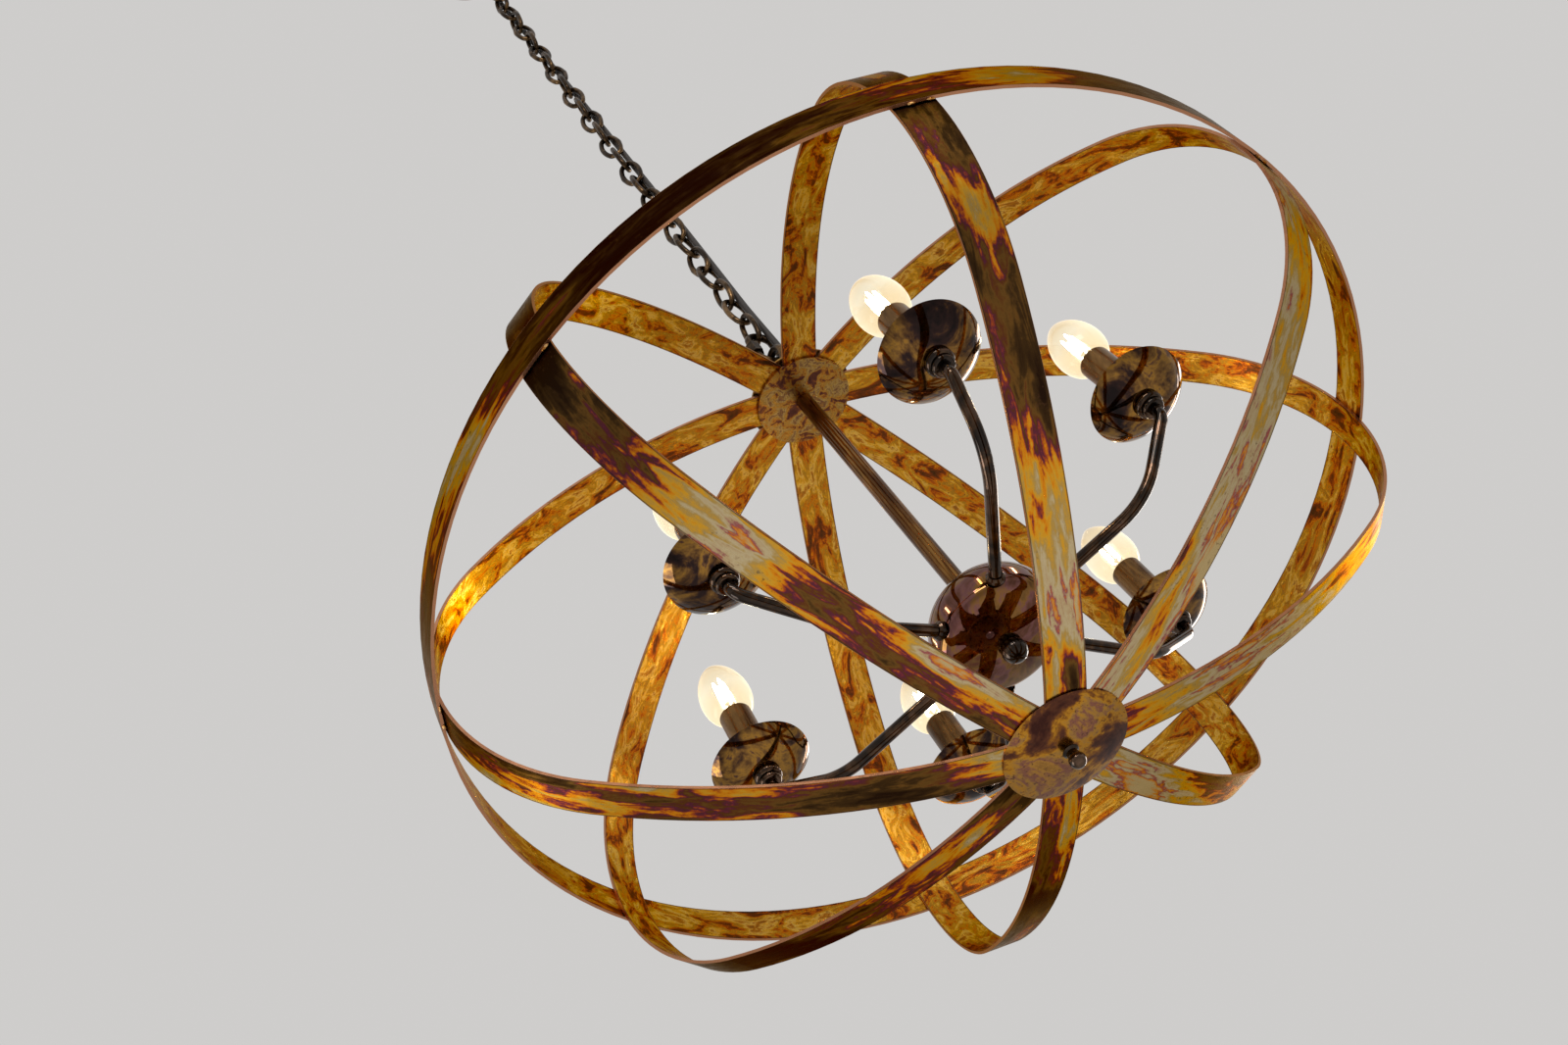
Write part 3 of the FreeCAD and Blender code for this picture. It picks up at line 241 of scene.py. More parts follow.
floor = mesh_piece("floor", [(x * FLOOR_HALF, y * FLOOR_HALF, FLOOR_HEIGHT)
                             for x, y in ((-1, -1), (1, -1), (1, 1), (-1, 1))],
                   [(0, 1, 2, 3)], smooth=False)
shader = Shader("pale_floor")
grain = shader.noise(shader.place(), FLOOR_GRAIN, detail=2.0)
floor.data.materials.append(shader.surface(Base_Color=shader.ramp(grain, FLOOR_COLOURS),
                                           Roughness=FLOOR_ROUGHNESS))

for name, spot, size, power, colour in LAMPS:
    light = bpy.data.lights.new(name, "AREA")
    light.shape = "RECTANGLE"
    light.size, light.size_y = size
    light.energy = power
    light.color = colour
    lamp = bpy.data.objects.new(name, light)
    lamp.location = spot
    lamp.rotation_mode = "QUATERNION"
    aim = Vector(ORB_CENTRE) - Vector(spot)
    lamp.rotation_quaternion = aim.to_track_quat("-Z", "Y")
    scene.collection.objects.link(lamp)


# ---- flame-coloured copper ----------------------------------------------------------

STRIP_HALF = 0.0130
BAND_HALF = 0.0140
# Metres of pattern for one radian round the strip. A hoop's heights are stretched first, so
# that the pattern keeps its scale where the orb is flattened.
STRIP_SPREAD = 0.30
HOOP_STRETCH = 1.5

# The outside's colours from cold to hot. The pale cream stops near the hot end are painted
# highlights, reflections of the lit room painted into the colour; the others are the flame's
# colouring.
OUTSIDE = [
    (0.30, (0.024, 0.011, 0.006)),
    (0.38, (0.064, 0.032, 0.011)),
    (0.425, (0.180, 0.086, 0.020)),
    (0.452, (0.140, 0.044, 0.014)),
    (0.472, (0.130, 0.026, 0.055)),
    (0.488, (0.400, 0.070, 0.022)),
    (0.508, (0.780, 0.250, 0.010)),
    (0.538, (0.760, 0.390, 0.030)),
    (0.572, (0.500, 0.320, 0.090)),
    (0.606, (0.620, 0.500, 0.290)),
    (0.636, (0.560, 0.400, 0.210)),
    (0.654, (0.340, 0.080, 0.110)),
    (0.670, (0.740, 0.240, 0.014)),
    (0.71, (0.620, 0.460, 0.220)),
]
INSIDE = [
    (0.30, (0.070, 0.030, 0.010)),
    (0.39, (0.150, 0.040, 0.010)),
    (0.43, (0.400, 0.080, 0.008)),
    (0.465, (0.580, 0.200, 0.008)),
    (0.50, (0.340, 0.170, 0.020)),
    (0.54, (0.620, 0.290, 0.014)),
    (0.59, (0.680, 0.420, 0.080)),
    (0.64, (0.440, 0.160, 0.014)),
    (0.72, (0.230, 0.100, 0.020)),
]
BARE_COPPER = (0.46, 0.22, 0.12)
DARK_LINE = (0.030, 0.020, 0.014)
WARM_GRAZE = (0.55, 0.42, 0.28)
SPOT = (0.10, 0.045, 0.022)
RED_SPOT = (0.17, 0.035, 0.012)

# Patterns on a strip: scale along it and across it, shift, detail, roughness, distortion.
ZONES = (7.0, 22.0, 0.0, 1.5, 0.45, 0.5)
STREAKS = (19.0, 120.0, 21.0, 3.0, 0.55, 0.9)
FINE = (75.0, 260.0, 7.3, 4.0, 0.6, 0.5)
SPECKLE = (330.0, 420.0, 3.1, 3.0, 0.6, 0.0)
PATCHES = (14.0, 30.0, 33.0, 2.0, 0.5, 0.4)
BLOTCHES = (30.0, 66.0, 11.0, 6.0, 0.66, 1.1)
WAVES = (20.0, 26.0, 17.0, 2.0, 0.5, 0.0)
# How much the zones, streaks, fine pattern and speckle add to the heat outside.
OUTSIDE_SHARES = (0.80, 0.38, 0.12, 0.05)
STREAK_SHARE_INSIDE = 0.30
SPECKLE_SHARE_INSIDE = 0.08
# Two heights from the band's middle and the values there: of the heat, which rises towards the
# bottom hub and there also paints highlights from the pale end of the colours, and of a painted
# shade that darkens the outside towards the top.
HEAT_AND_PAINTED_SHEEN_BY_HEIGHT = (-0.19, -0.02, 0.55, 0.45)
PAINTED_SHADE_BY_HEIGHT = (-0.17, 0.04, 0.92, 0.6)
# Where a pattern starts to show as dots or patches, and where it is full.
DOT_RANGE = (0.60, 0.70)
PATCH_RANGE = (0.50, 0.60)
DOTS_OUTSIDE = 0.7
DOTS_INSIDE = 0.7
# Widths from a strip's edge: a dark line that fades in, and the bare cut edge.
RIM_START = 0.0010
RIM_FULL = 0.0005
BARE_WIDTH = 0.00012
RIM_SHARE = 0.75
STRIP_ROUGHNESS = (0.22, 0.40)
ROUGHNESS_RANGE = (0.3, 0.7)
WAVE_RELIEF = 5.0
FINE_RELIEF = 1.6
STRIP_BUMP = 0.16
BUMP_DEPTH = 0.0003


def around_zero(shader, value, size):
    """A pattern from 0 to 1, moved to lie evenly about 0 and scaled."""
    return shader.math("MULTIPLY", shader.math("SUBTRACT", value, 0.5), size)


def strip_copper(name, along_of, across_of, half_width, seed, heat_and_shade):
    """Copper strip: flame streaks along its length with painted highlights among them, gold
    within, bare metal on its edges; painted shade darkens its outside upwards.
    """
    shader = Shader(name)
    place = shader.vector("SUBTRACT", shader.place(), ORB_CENTRE)
    along = along_of(shader, place)
    across = across_of(shader, place)

    def streaked(pattern):
        lengthways, crossways, shift, detail, roughness, distortion = pattern
        return shader.noise(shader.join(shader.math("MULTIPLY", along, lengthways),
                                        shader.math("MULTIPLY", across, crossways),
                                        seed + shift),
                            1.0, detail, roughness, distortion)

    zones, streaks, fine, speckle = map(streaked, (ZONES, STREAKS, FINE, SPECKLE))
    height = shader.split(place)[2]
    # The heat rises towards the bottom hub: partly the flame's colouring, partly painted
    # highlights, as it brings in the pale end of the colours there.
    low, high, tone_low, tone_high = HEAT_AND_PAINTED_SHEEN_BY_HEIGHT
    # The shift of each hoop adds painted shade to whole hoops that face away from the light and
    # painted highlights to lit ones.
    tone = shader.rescale(height, low, high, tone_low + heat_and_shade, tone_high + heat_and_shade)
    for pattern, share in zip((zones, streaks, fine, speckle), OUTSIDE_SHARES):
        tone = shader.math("ADD", tone, around_zero(shader, pattern, share))
    outside = shader.ramp(tone, OUTSIDE)
    dots = shader.rescale(speckle, *DOT_RANGE)
    patches = shader.rescale(streaked(PATCHES), *PATCH_RANGE)
    spots = shader.math("MULTIPLY", dots, shader.math("MULTIPLY", patches, DOTS_OUTSIDE))
    outside = shader.mix(spots, outside, SPOT)
    # Painted shade: the outside is darkened towards the top of the orb.
    shade = shader.rescale(height, *PAINTED_SHADE_BY_HEIGHT)
    outside = shader.mix(1.0, outside, shader.join(shade, shade, shade), "MULTIPLY")

    blotches = streaked(BLOTCHES)
    for pattern, share in ((streaks, STREAK_SHARE_INSIDE), (speckle, SPECKLE_SHARE_INSIDE)):
        blotches = shader.math("ADD", blotches, around_zero(shader, pattern, share))
    inside = shader.ramp(blotches, INSIDE)
    inside = shader.mix(shader.math("MULTIPLY", dots, DOTS_INSIDE), inside, RED_SPOT)

    facing = shader.vector("DOT_PRODUCT", shader.place("Normal"), place)
    colour = shader.mix(shader.math("GREATER_THAN", facing, 0.0), inside, outside)
    edge = shader.math("ABSOLUTE", across)
    rim = shader.rescale(edge, half_width - RIM_START, half_width - RIM_FULL)
    colour = shader.mix(shader.math("MULTIPLY", rim, RIM_SHARE), colour, DARK_LINE)
    bare = shader.math("GREATER_THAN", edge, half_width - BARE_WIDTH)
    colour = shader.mix(bare, colour, BARE_COPPER)

    rough = shader.rescale(fine, *ROUGHNESS_RANGE, *STRIP_ROUGHNESS)
    relief = shader.math("ADD", shader.math("MULTIPLY", streaked(WAVES), WAVE_RELIEF),
                         shader.math("ADD", speckle, shader.math("MULTIPLY", fine, FINE_RELIEF)))
    return shader.surface(Base_Color=colour, Metallic=1.0, Roughness=rough,
                          Specular_Tint=WARM_GRAZE,
                          Normal=shader.bump(relief, STRIP_BUMP, BUMP_DEPTH))


def hoop_along(direction):
    """Distance along a hoop that stands in a direction."""
    def along(shader, place):
        heading = (math.cos(direction), math.sin(direction), 0)
        outwards = shader.vector("DOT_PRODUCT", place, heading)
        height = shader.math("MULTIPLY", shader.split(place)[2], HOOP_STRETCH)
        return shader.math("MULTIPLY", shader.math("ARCTAN2", height, outwards), STRIP_SPREAD)
    return along


def hoop_across(direction):
    """Distance from the middle line of a hoop that stands in a direction."""
    def across(shader, place):
        return shader.vector("DOT_PRODUCT", place, (-math.sin(direction), math.cos(direction), 0))
    return across


def band_along(shader, place):
    x, y = shader.split(place)[:2]
    return shader.math("MULTIPLY", shader.math("ARCTAN2", y, x), STRIP_SPREAD)


def band_across(shader, place):
    return shader.split(place)[2]


def wear(name, material):
    """Gives a CAD node one material."""
    mesh = nodes[name].data
    mesh.materials.clear()
    mesh.materials.append(material)


HOOPS = 8
FIRST_HOOP = -90
HOOP_SEED = 4.2
HOOP_SEED_STEP = 6.1
BAND_SEED = 61.4
# How far the outside of each hoop, and of the band on the next line, is moved along its colours,
# dark below zero and gold to silver above. It is partly the flame's colouring and partly painted
# light: painted shade on the hoops that face away from the light, painted highlights on the lit
# ones.
HOOP_HEAT_AND_SHADE = (-0.06, -0.04, 0.18, 0.02, -0.04, -0.14, -0.15, -0.03)
BAND_HEAT_AND_SHADE = -0.04
for number in range(HOOPS):
    direction = math.radians(FIRST_HOOP + 360 / HOOPS * number)
    wear("half_hoop_%d" % (number + 1),
         strip_copper("hoop_copper_%d" % (number + 1), hoop_along(direction),
                      hoop_across(direction), STRIP_HALF, HOOP_SEED_STEP * number + HOOP_SEED,
                      HOOP_HEAT_AND_SHADE[number]))
wear("equator_band", strip_copper("band_copper", band_along, band_across, BAND_HALF, BAND_SEED,
                                  BAND_HEAT_AND_SHADE))


# ---- mottled metals and plastics ----------------------------------------------------

CLOUD_DETAIL = 5.0
FINE_DETAIL = 4.0
CLOUD_ROUGHNESS = 0.6
FINE_TO_CLOUD = 7
SPECK_TO_CLOUD = 16
SPECK_SHARE = 0.8
FINE_SHARE = 0.18
COAT_ROUGHNESS = 0.03
SEED_SIDEWAYS = 0.7


def mottled(name, stops, scale, seed, roughness=(0.22, 0.42), metallic=1.0, speck=None,
            bump=0.2, distortion=0.8, stretch=(1, 1, 1), coat=0.0):
    """Mottled in clouds of the given colours, with finer specks over them."""
    shader = Shader(name)
    place = shader.vector("MULTIPLY", shader.place(), stretch)
    place = shader.vector("ADD", place, (seed, seed * SEED_SIDEWAYS, -seed))
    clouds = shader.noise(place, scale, CLOUD_DETAIL, CLOUD_ROUGHNESS, distortion)
    fine = shader.noise(place, scale * FINE_TO_CLOUD, FINE_DETAIL, CLOUD_ROUGHNESS)
    tone = shader.math("ADD", clouds, around_zero(shader, fine, FINE_SHARE))
    colour = shader.ramp(tone, stops)
    if speck:
        specks = shader.noise(place, scale * SPECK_TO_CLOUD, detail=2.0)
        dots = shader.rescale(specks, *DOT_RANGE)
        colour = shader.mix(shader.math("MULTIPLY", dots, SPECK_SHARE), colour, speck)
    rough = shader.rescale(fine, *ROUGHNESS_RANGE, *roughness)
    return shader.surface(Base_Color=colour, Metallic=metallic, Roughness=rough,
                          Coat_Weight=coat, Coat_Roughness=COAT_ROUGHNESS,
                          Normal=shader.bump(fine, bump, BUMP_DEPTH))


HUB = [
    (0.30, (0.060, 0.022, 0.018)),
    (0.42, (0.120, 0.042, 0.026)),
    (0.450, (0.300, 0.100, 0.018)),
    (0.49, (0.440, 0.220, 0.034)),
    (0.54, (0.280, 0.160, 0.040)),
    (0.58, (0.420, 0.270, 0.080)),
    (0.64, (0.150, 0.066, 0.040)),
    (0.74, (0.380, 0.190, 0.034)),
]
hub_copper = mottled("hub_copper", HUB, scale=88, seed=2.0, speck=(0.10, 0.036, 0.030),
                     distortion=1.2, roughness=(0.24, 0.44))
for name in ("top_disc_inner", "top_disc_outer", "bottom_disc_inner"):
    wear(name, hub_copper)
DOME = [
    (0.34, (0.050, 0.018, 0.014)),
    (0.42, (0.110, 0.040, 0.022)),
    (0.465, (0.260, 0.100, 0.018)),
    (0.51, (0.500, 0.230, 0.022)),
    (0.56, (0.380, 0.200, 0.050)),
    (0.61, (0.230, 0.090, 0.070)),
    (0.67, (0.440, 0.220, 0.044)),
    (0.76, (0.110, 0.046, 0.022)),
]
wear("bottom_disc_outer", mottled("dome_copper", DOME, scale=26, seed=9.1,
                                  speck=(0.07, 0.03, 0.02), distortion=0.9,
                                  roughness=(0.10, 0.24)))
DISH = [
    (0.32, (0.008, 0.004, 0.004)),
    (0.42, (0.028, 0.012, 0.010)),
    (0.48, (0.110, 0.050, 0.014)),
    (0.53, (0.210, 0.104, 0.024)),
    (0.57, (0.320, 0.160, 0.024)),
    (0.61, (0.110, 0.050, 0.026)),
    (0.70, (0.024, 0.012, 0.009)),
]
CANDLES = 6
DISH_SEED = 0.4
DISH_SEED_STEP = 3.7
for number in range(CANDLES):
    wear("candle_dish_%d" % (number + 1),
         mottled("dish_bronze_%d" % (number + 1), DISH, scale=34,
                 seed=DISH_SEED_STEP * number + DISH_SEED, roughness=(0.04, 0.10), bump=0.03,
                 distortion=0.9, coat=0.2))
BODY = [
    (0.30, (0.040, 0.014, 0.008)),
    (0.42, (0.110, 0.036, 0.018)),
    (0.49, (0.150, 0.074, 0.020)),
    (0.53, (0.220, 0.104, 0.026)),
    (0.58, (0.180, 0.074, 0.070)),
    (0.64, (0.120, 0.046, 0.028)),
    (0.74, (0.060, 0.024, 0.014)),
]
body_copper = mottled("body_copper", BODY, scale=26, seed=5.0, roughness=(0.02, 0.06),
                      bump=0.02, distortion=1.2, coat=0.15)
for name in ("body_top_shell", "body_bottom_shell"):
    wear(name, body_copper)
ARM = [
    (0.30, (0.008, 0.005, 0.003)),
    (0.46, (0.020, 0.011, 0.006)),
    (0.54, (0.060, 0.030, 0.012)),
    (0.62, (0.110, 0.060, 0.036)),
    (0.74, (0.026, 0.015, 0.008)),
]
arm_bronze = mottled("arm_bronze", ARM, scale=44, seed=1.0, roughness=(0.05, 0.12), bump=0.02,
                     coat=0.45)
for number in range(CANDLES):
    wear("arm_%d" % (number + 1), arm_bronze)
for name in ("body_finial", "arm_ferrules", "dish_collars", "bottom_knob"):
    wear(name, arm_bronze)
STEM = [
    (0.30, (0.026, 0.012, 0.006)),
    (0.45, (0.080, 0.034, 0.012)),
    (0.54, (0.150, 0.068, 0.020)),
    (0.60, (0.300, 0.150, 0.040)),
    (0.68, (0.090, 0.046, 0.018)),
]
wear("stem_tube", mottled("stem_bronze", STEM, scale=70, seed=4.0, roughness=(0.10, 0.22),
                          bump=0.06, stretch=(1, 1, 0.08)))
SLEEVE = [
    (0.30, (0.050, 0.024, 0.010)),
    (0.45, (0.120, 0.062, 0.022)),
    (0.58, (0.230, 0.120, 0.040)),
    (0.70, (0.110, 0.060, 0.026)),
]
wear("candle_sleeves", mottled("sleeve_bronze", SLEEVE, scale=46, seed=6.0,
                               roughness=(0.16, 0.30), stretch=(1, 1, 0.3)))
CHAIN = [
    (0.00, (0.010, 0.007, 0.005)),
    (0.45, (0.035, 0.022, 0.013)),
    (0.58, (0.110, 0.065, 0.030)),
    (0.70, (0.220, 0.130, 0.060)),
    (1.00, (0.060, 0.036, 0.020)),
]
chain_steel = mottled("chain_steel", CHAIN, scale=70, seed=7.0, roughness=(0.22, 0.45),
                      bump=0.3)
for name in ("chain_links", "top_link", "quick_link", "quick_link_nut", "hub_loop",
             "ceiling_loop", "collar_ring"):
    wear(name, chain_steel)
CUP = [
    (0.00, (0.050, 0.026, 0.016)),
    (0.42, (0.120, 0.060, 0.030)),
    (0.52, (0.240, 0.120, 0.045)),
    (0.64, (0.300, 0.180, 0.090)),
    (1.00, (0.120, 0.066, 0.040)),
]
wear("ceiling_cup", mottled("cup_copper", CUP, scale=22, seed=8.0, roughness=(0.2, 0.38)))
ZINC = [
    (0.00, (0.42, 0.42, 0.42)),
    (0.50, (0.56, 0.56, 0.57)),
    (1.00, (0.64, 0.63, 0.60)),
]
zinc = mottled("zinc", ZINC, scale=90, seed=3.0, roughness=(0.25, 0.42))
for name in ("ceiling_bracket", "bracket_nipple", "bracket_locknuts", "cluster_locknuts",
             "cluster_nipples", "bottom_bolt"):
    wear(name, zinc)
JACKET = [
    (0.30, (0.010, 0.007, 0.005)),
    (0.60, (0.018, 0.012, 0.009)),
    (0.80, (0.034, 0.024, 0.016)),
]
jacket = mottled("cable_jacket", JACKET, scale=90, seed=2.0, roughness=(0.42, 0.6),
                 metallic=0.0)
for name in ("supply_cable", "cable_top_tail", "cable_bottom_tail", "inner_wires"):
    wear(name, jacket)
PLASTIC = [
    (0.00, (0.62, 0.59, 0.52)),
    (0.60, (0.72, 0.69, 0.62)),
    (1.00, (0.78, 0.75, 0.68)),
]
plastic = mottled("white_plastic", PLASTIC, scale=60, seed=2.0, roughness=(0.4, 0.55),
                  metallic=0.0)
for name in ("terminal_block", "junction_block", "lampholders"):
    wear(name, plastic)


# ---- candle lamps -------------------------------------------------------------------

MM = 0.001
ROUND = 48
# Radii and heights in millimetres, the heights from the dish's rim.
GLASS_NECK = (8.2, 50.0)
GLASS_BELLY = (17.5, 67.5)
GLASS_TIP = 101.7
TIP_RADIUS = 3.0
PROFILE_STEPS = 22
TIP_STEPS = 6
POLE_RADIUS = 0.05
BUTTON = [(0.05, 23.2), (3.0, 23.2), (3.4, 24.2), (6.0, 27.0)]
THREAD_START = 27.0
THREAD_TURNS = 7
THREAD_PITCH = 3.0
THREAD_RADIUS = 6.45
THREAD_DEPTH = 0.4
STEPS_A_TURN = 6
CAP_TOP = [(6.9, 48.4), (8.1, 49.9), (0.05, 49.9)]
STALK = [(2.4, 50.0), (2.2, 55.0), (1.5, 58.0), (4.4, 59.2), (4.4, 60.0), (0.4, 60.2)]
FILAMENT = [(0.3, 58.0), (1.4, 59.4), (1.7, 70.0), (1.0, 84.0), (0.3, 86.0)]
FILAMENTS = 4
FILAMENT_RING = 3.4
FIRST_FILAMENT = 45


def turned(name, outline, material, place):
    """A piece turned about Z from (radius, height) points in millimetres."""
    points, faces = [], []
    for radius, height in outline:
        for step in range(ROUND):
            angle = 2 * math.pi * step / ROUND
            points.append((radius * MM * math.cos(angle), radius * MM * math.sin(angle),
                           height * MM))
    for row in range(len(outline) - 1):
        for step in range(ROUND):
            here = row * ROUND + step
            beside = row * ROUND + (step + 1) % ROUND
            faces.append((here, beside, beside + ROUND, here + ROUND))
    faces.append(tuple(reversed(range(ROUND))))
    last = (len(outline) - 1) * ROUND
    faces.append(tuple(range(last, last + ROUND)))
    piece = mesh_piece(name, points, faces)
    piece.data.materials.append(material)
    piece.matrix_world = place
    return piece


def glass_outline():
    """Flame shape: round belly over the neck, then a flank that runs to a small round tip."""
    neck_radius, neck_height = GLASS_NECK
    belly_radius, belly_height = GLASS_BELLY
    points = []
    for step in range(PROFILE_STEPS):
        angle = step / (PROFILE_STEPS - 1) * math.pi / 2
        points.append((neck_radius + (belly_radius - neck_radius) * math.sin(angle),
                       neck_height + (belly_height - neck_height) * (1 - math.cos(angle))))
    rise = GLASS_TIP - TIP_RADIUS - belly_height
    flank = ((belly_radius ** 2 + rise ** 2 - TIP_RADIUS ** 2)
             / (2 * (belly_radius - TIP_RADIUS)))
    last = math.asin(rise / (flank - TIP_RADIUS))
    for step in range(1, PROFILE_STEPS + 1):
        angle = last * step / PROFILE_STEPS
        points.append((belly_radius - flank + flank * math.cos(angle),
                       belly_height + flank * math.sin(angle)))
    for step in range(1, TIP_STEPS + 1):
        angle = last + (math.pi / 2 - last) * step / TIP_STEPS
        points.append((max(TIP_RADIUS * math.cos(angle), POLE_RADIUS),
                       GLASS_TIP - TIP_RADIUS + TIP_RADIUS * math.sin(angle)))
    return points


def cap_outline():
    """The screw cap: a contact button, an insulator and the rounds of its thread."""
    points = list(BUTTON)
    for step in range(THREAD_TURNS * STEPS_A_TURN + 1):
        wave = math.sin(step * 2 * math.pi / STEPS_A_TURN)
        points.append((THREAD_RADIUS + THREAD_DEPTH * wave,
                       THREAD_START + step * THREAD_PITCH / STEPS_A_TURN))
    return points + CAP_TOP


GLASS_TINT = (0.030, 0.026, 0.018)
GLASS_ALPHA = 0.72
GLASS_SPECULAR = 0.35
GLASS_ROUGHNESS = (0.05, 0.12)
GLASS_GLOW = 0.98
# Heights in metres over the dish's rim between which the glow of the glass changes.
GLOW_RANGE = (0.050, 0.100)
GLOW = [
    (0.00, (1.00, 0.80, 0.48)),
    (0.34, (1.00, 0.92, 0.70)),
    (0.64, (0.90, 0.72, 0.44)),
    (1.00, (0.48, 0.38, 0.25)),
]
HAZE_GLOW = (0.80, 0.62, 0.36)
HAZE_SHARE = 0.25
HAZE_SCALE = 60
FILAMENT_TINT = (1.0, 0.85, 0.5)
FILAMENT_GLOW = [(0.3, (1.0, 0.80, 0.48)), (0.7, (1.0, 0.90, 0.68))]
FILAMENT_STRENGTH = 62.0
FILAMENT_ROUGHNESS = 0.6
FLICKER_SCALE = 400
NICKEL = [(0.3, (0.50, 0.49, 0.46)), (0.7, (0.66, 0.65, 0.62))]
NICKEL_ROUGHNESS = (0.18, 0.34)
NICKEL_BUMP = 0.2
SCRATCH_SCALE = 300
SCRATCH_DEPTH = 0.0002

shader = Shader("lit_glass")
haze = shader.noise(shader.place(), HAZE_SCALE, detail=3.0)
over_rim = shader.rescale(shader.split(shader.place())[2], *GLOW_RANGE)
lit_glass = shader.surface(
    Base_Color=GLASS_TINT, Alpha=GLASS_ALPHA, Specular_IOR_Level=GLASS_SPECULAR,
    Roughness=shader.rescale(haze, *ROUGHNESS_RANGE, *GLASS_ROUGHNESS),
    Emission_Color=shader.mix(shader.rescale(haze, *ROUGHNESS_RANGE, 0.0, HAZE_SHARE),
                              shader.ramp(over_rim, GLOW), HAZE_GLOW),
    Emission_Strength=GLASS_GLOW)
shader = Shader("hot_filament")
flicker = shader.noise(shader.place(), FLICKER_SCALE, detail=2.0)
hot_filament = shader.surface(
    Base_Color=FILAMENT_TINT, Roughness=FILAMENT_ROUGHNESS,
    Emission_Color=shader.ramp(flicker, FILAMENT_GLOW), Emission_Strength=FILAMENT_STRENGTH)
shader = Shader("cap_nickel")
scratches = shader.noise(shader.place(), SCRATCH_SCALE, detail=3.0)
cap_nickel = shader.surface(
    Base_Color=shader.ramp(scratches, NICKEL), Metallic=1.0,
    Roughness=shader.rescale(scratches, *ROUGHNESS_RANGE, *NICKEL_ROUGHNESS),
    Normal=shader.bump(scratches, NICKEL_BUMP, SCRATCH_DEPTH))

for number in range(CANDLES):
    body = "bulb_%d" % (number + 1)
    joint = next(j for j in frame["joints"] if j["child"] == body)
    axis = Vector(joint["axis"]).normalized()
    place = (Matrix.Translation(joint["pos_m"])
             @ axis.to_track_quat("Z", "X").to_matrix().to_4x4())
    glass = turned("bulb_glass_%d" % (number + 1), glass_outline(), lit_glass, place)
    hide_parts(body)
    pieces = [glass,
              turned("bulb_cap_%d" % (number + 1), cap_outline(), cap_nickel, place),
              turned("bulb_stalk_%d" % (number + 1), STALK, cap_nickel, place)]
    for turn in range(FILAMENTS):
        angle = math.radians(FIRST_FILAMENT + 360 / FILAMENTS * turn)
        aside = Matrix.Translation((FILAMENT_RING * MM * math.cos(angle),
                                    FILAMENT_RING * MM * math.sin(angle), 0))
        pieces.append(turned("filament_%d_%d" % (number + 1, turn + 1), FILAMENT, hot_filament,
                             place @ aside))
    for piece in pieces:
        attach(piece, body)


# ---- chain and cable ends -----------------------------------------------------------

WIRE_SIDES = 18


def swept(route, radii, closed):
    """A round wire along a route, with a radius for every point of it."""
    count = len(route)
    points, faces = [], []
    side = (route[1] - route[0]).orthogonal()
    for index, (spot, radius) in enumerate(zip(route, radii)):
        ahead = route[(index + 1) % count] if closed else route[min(index + 1, count - 1)]
        behind = route[index - 1] if closed or index else route[0]
        heading = (ahead - behind).normalized()
        side = (side - heading * side.dot(heading)).normalized()
        other = heading.cross(side)
        for step in range(WIRE_SIDES):
            angle = 2 * math.pi * step / WIRE_SIDES
            points.append(spot + (side * math.cos(angle) + other * math.sin(angle)) * radius)
    for row in range(count if closed else count - 1):
        here = row * WIRE_SIDES
        after = (row + 1) % count * WIRE_SIDES
        for step in range(WIRE_SIDES):
            beside = (step + 1) % WIRE_SIDES
            faces.append((here + step, here + beside, after + beside, after + step))
    if not closed:
        faces.append(tuple(reversed(range(WIRE_SIDES))))
        faces.append(tuple(range((count - 1) * WIRE_SIDES, count * WIRE_SIDES)))
    return points, faces


def wire_piece(name, wires, material, node, closed=False):
    """Wires joined into one piece that stands for a CAD node."""
    points, faces = [], []
    for route, radii in wires:
        wire_points, wire_faces = swept(route, radii, closed)
        first = len(points)
        points += wire_points
        faces += [tuple(first + corner for corner in face) for face in wire_faces]
    piece = mesh_piece(name, points, faces)
    piece.data.materials.append(material)
    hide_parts(node)
    return piece


# Sizes in millimetres, heights from the band's middle, turns in degrees.
DROP = 1230
LINKS = 29
LINK_BASE = 298.35
LINK_PITCH = 30
LINK_GAP = 0.3
LINK_WIRE = 4.5
LINK_INSIDE = 12
FIRST_LINK_TURN = -26.6
LINK_TURN = 93.75
SQUARE = 90
SLACK_TURN = 7
WELD_LENGTH = 2.6
WELD_SWELLING = 0.12
LINK_END_BEND = 6.2
BEND_STEPS = 9
LEG_STEPS = 7
chance = random.Random(8)


def oval(half_width, half_length, end_bend):
    """Centre line of an oval link: tight bends at its ends and bowed legs between them."""
    side_bend = (((half_length - end_bend) ** 2 + half_width ** 2 - end_bend ** 2)
                 / (2 * (half_width - end_bend)))
    meet = math.atan2(half_length - end_bend, side_bend - half_width)
    quarter = []
    for step in range(LEG_STEPS):
        angle = meet * step / LEG_STEPS
        quarter.append((half_width - side_bend * (1 - math.cos(angle)),
                        side_bend * math.sin(angle)))
    for step in range(BEND_STEPS):
        angle = meet + (math.pi / 2 - meet) * step / BEND_STEPS
        quarter.append((end_bend * math.cos(angle),
                        half_length - end_bend + end_bend * math.sin(angle)))
    half = quarter + [(0, half_length)] + [(-x, y) for x, y in reversed(quarter)]
    return half + [(-x, -y) for x, y in half[1:-1]]


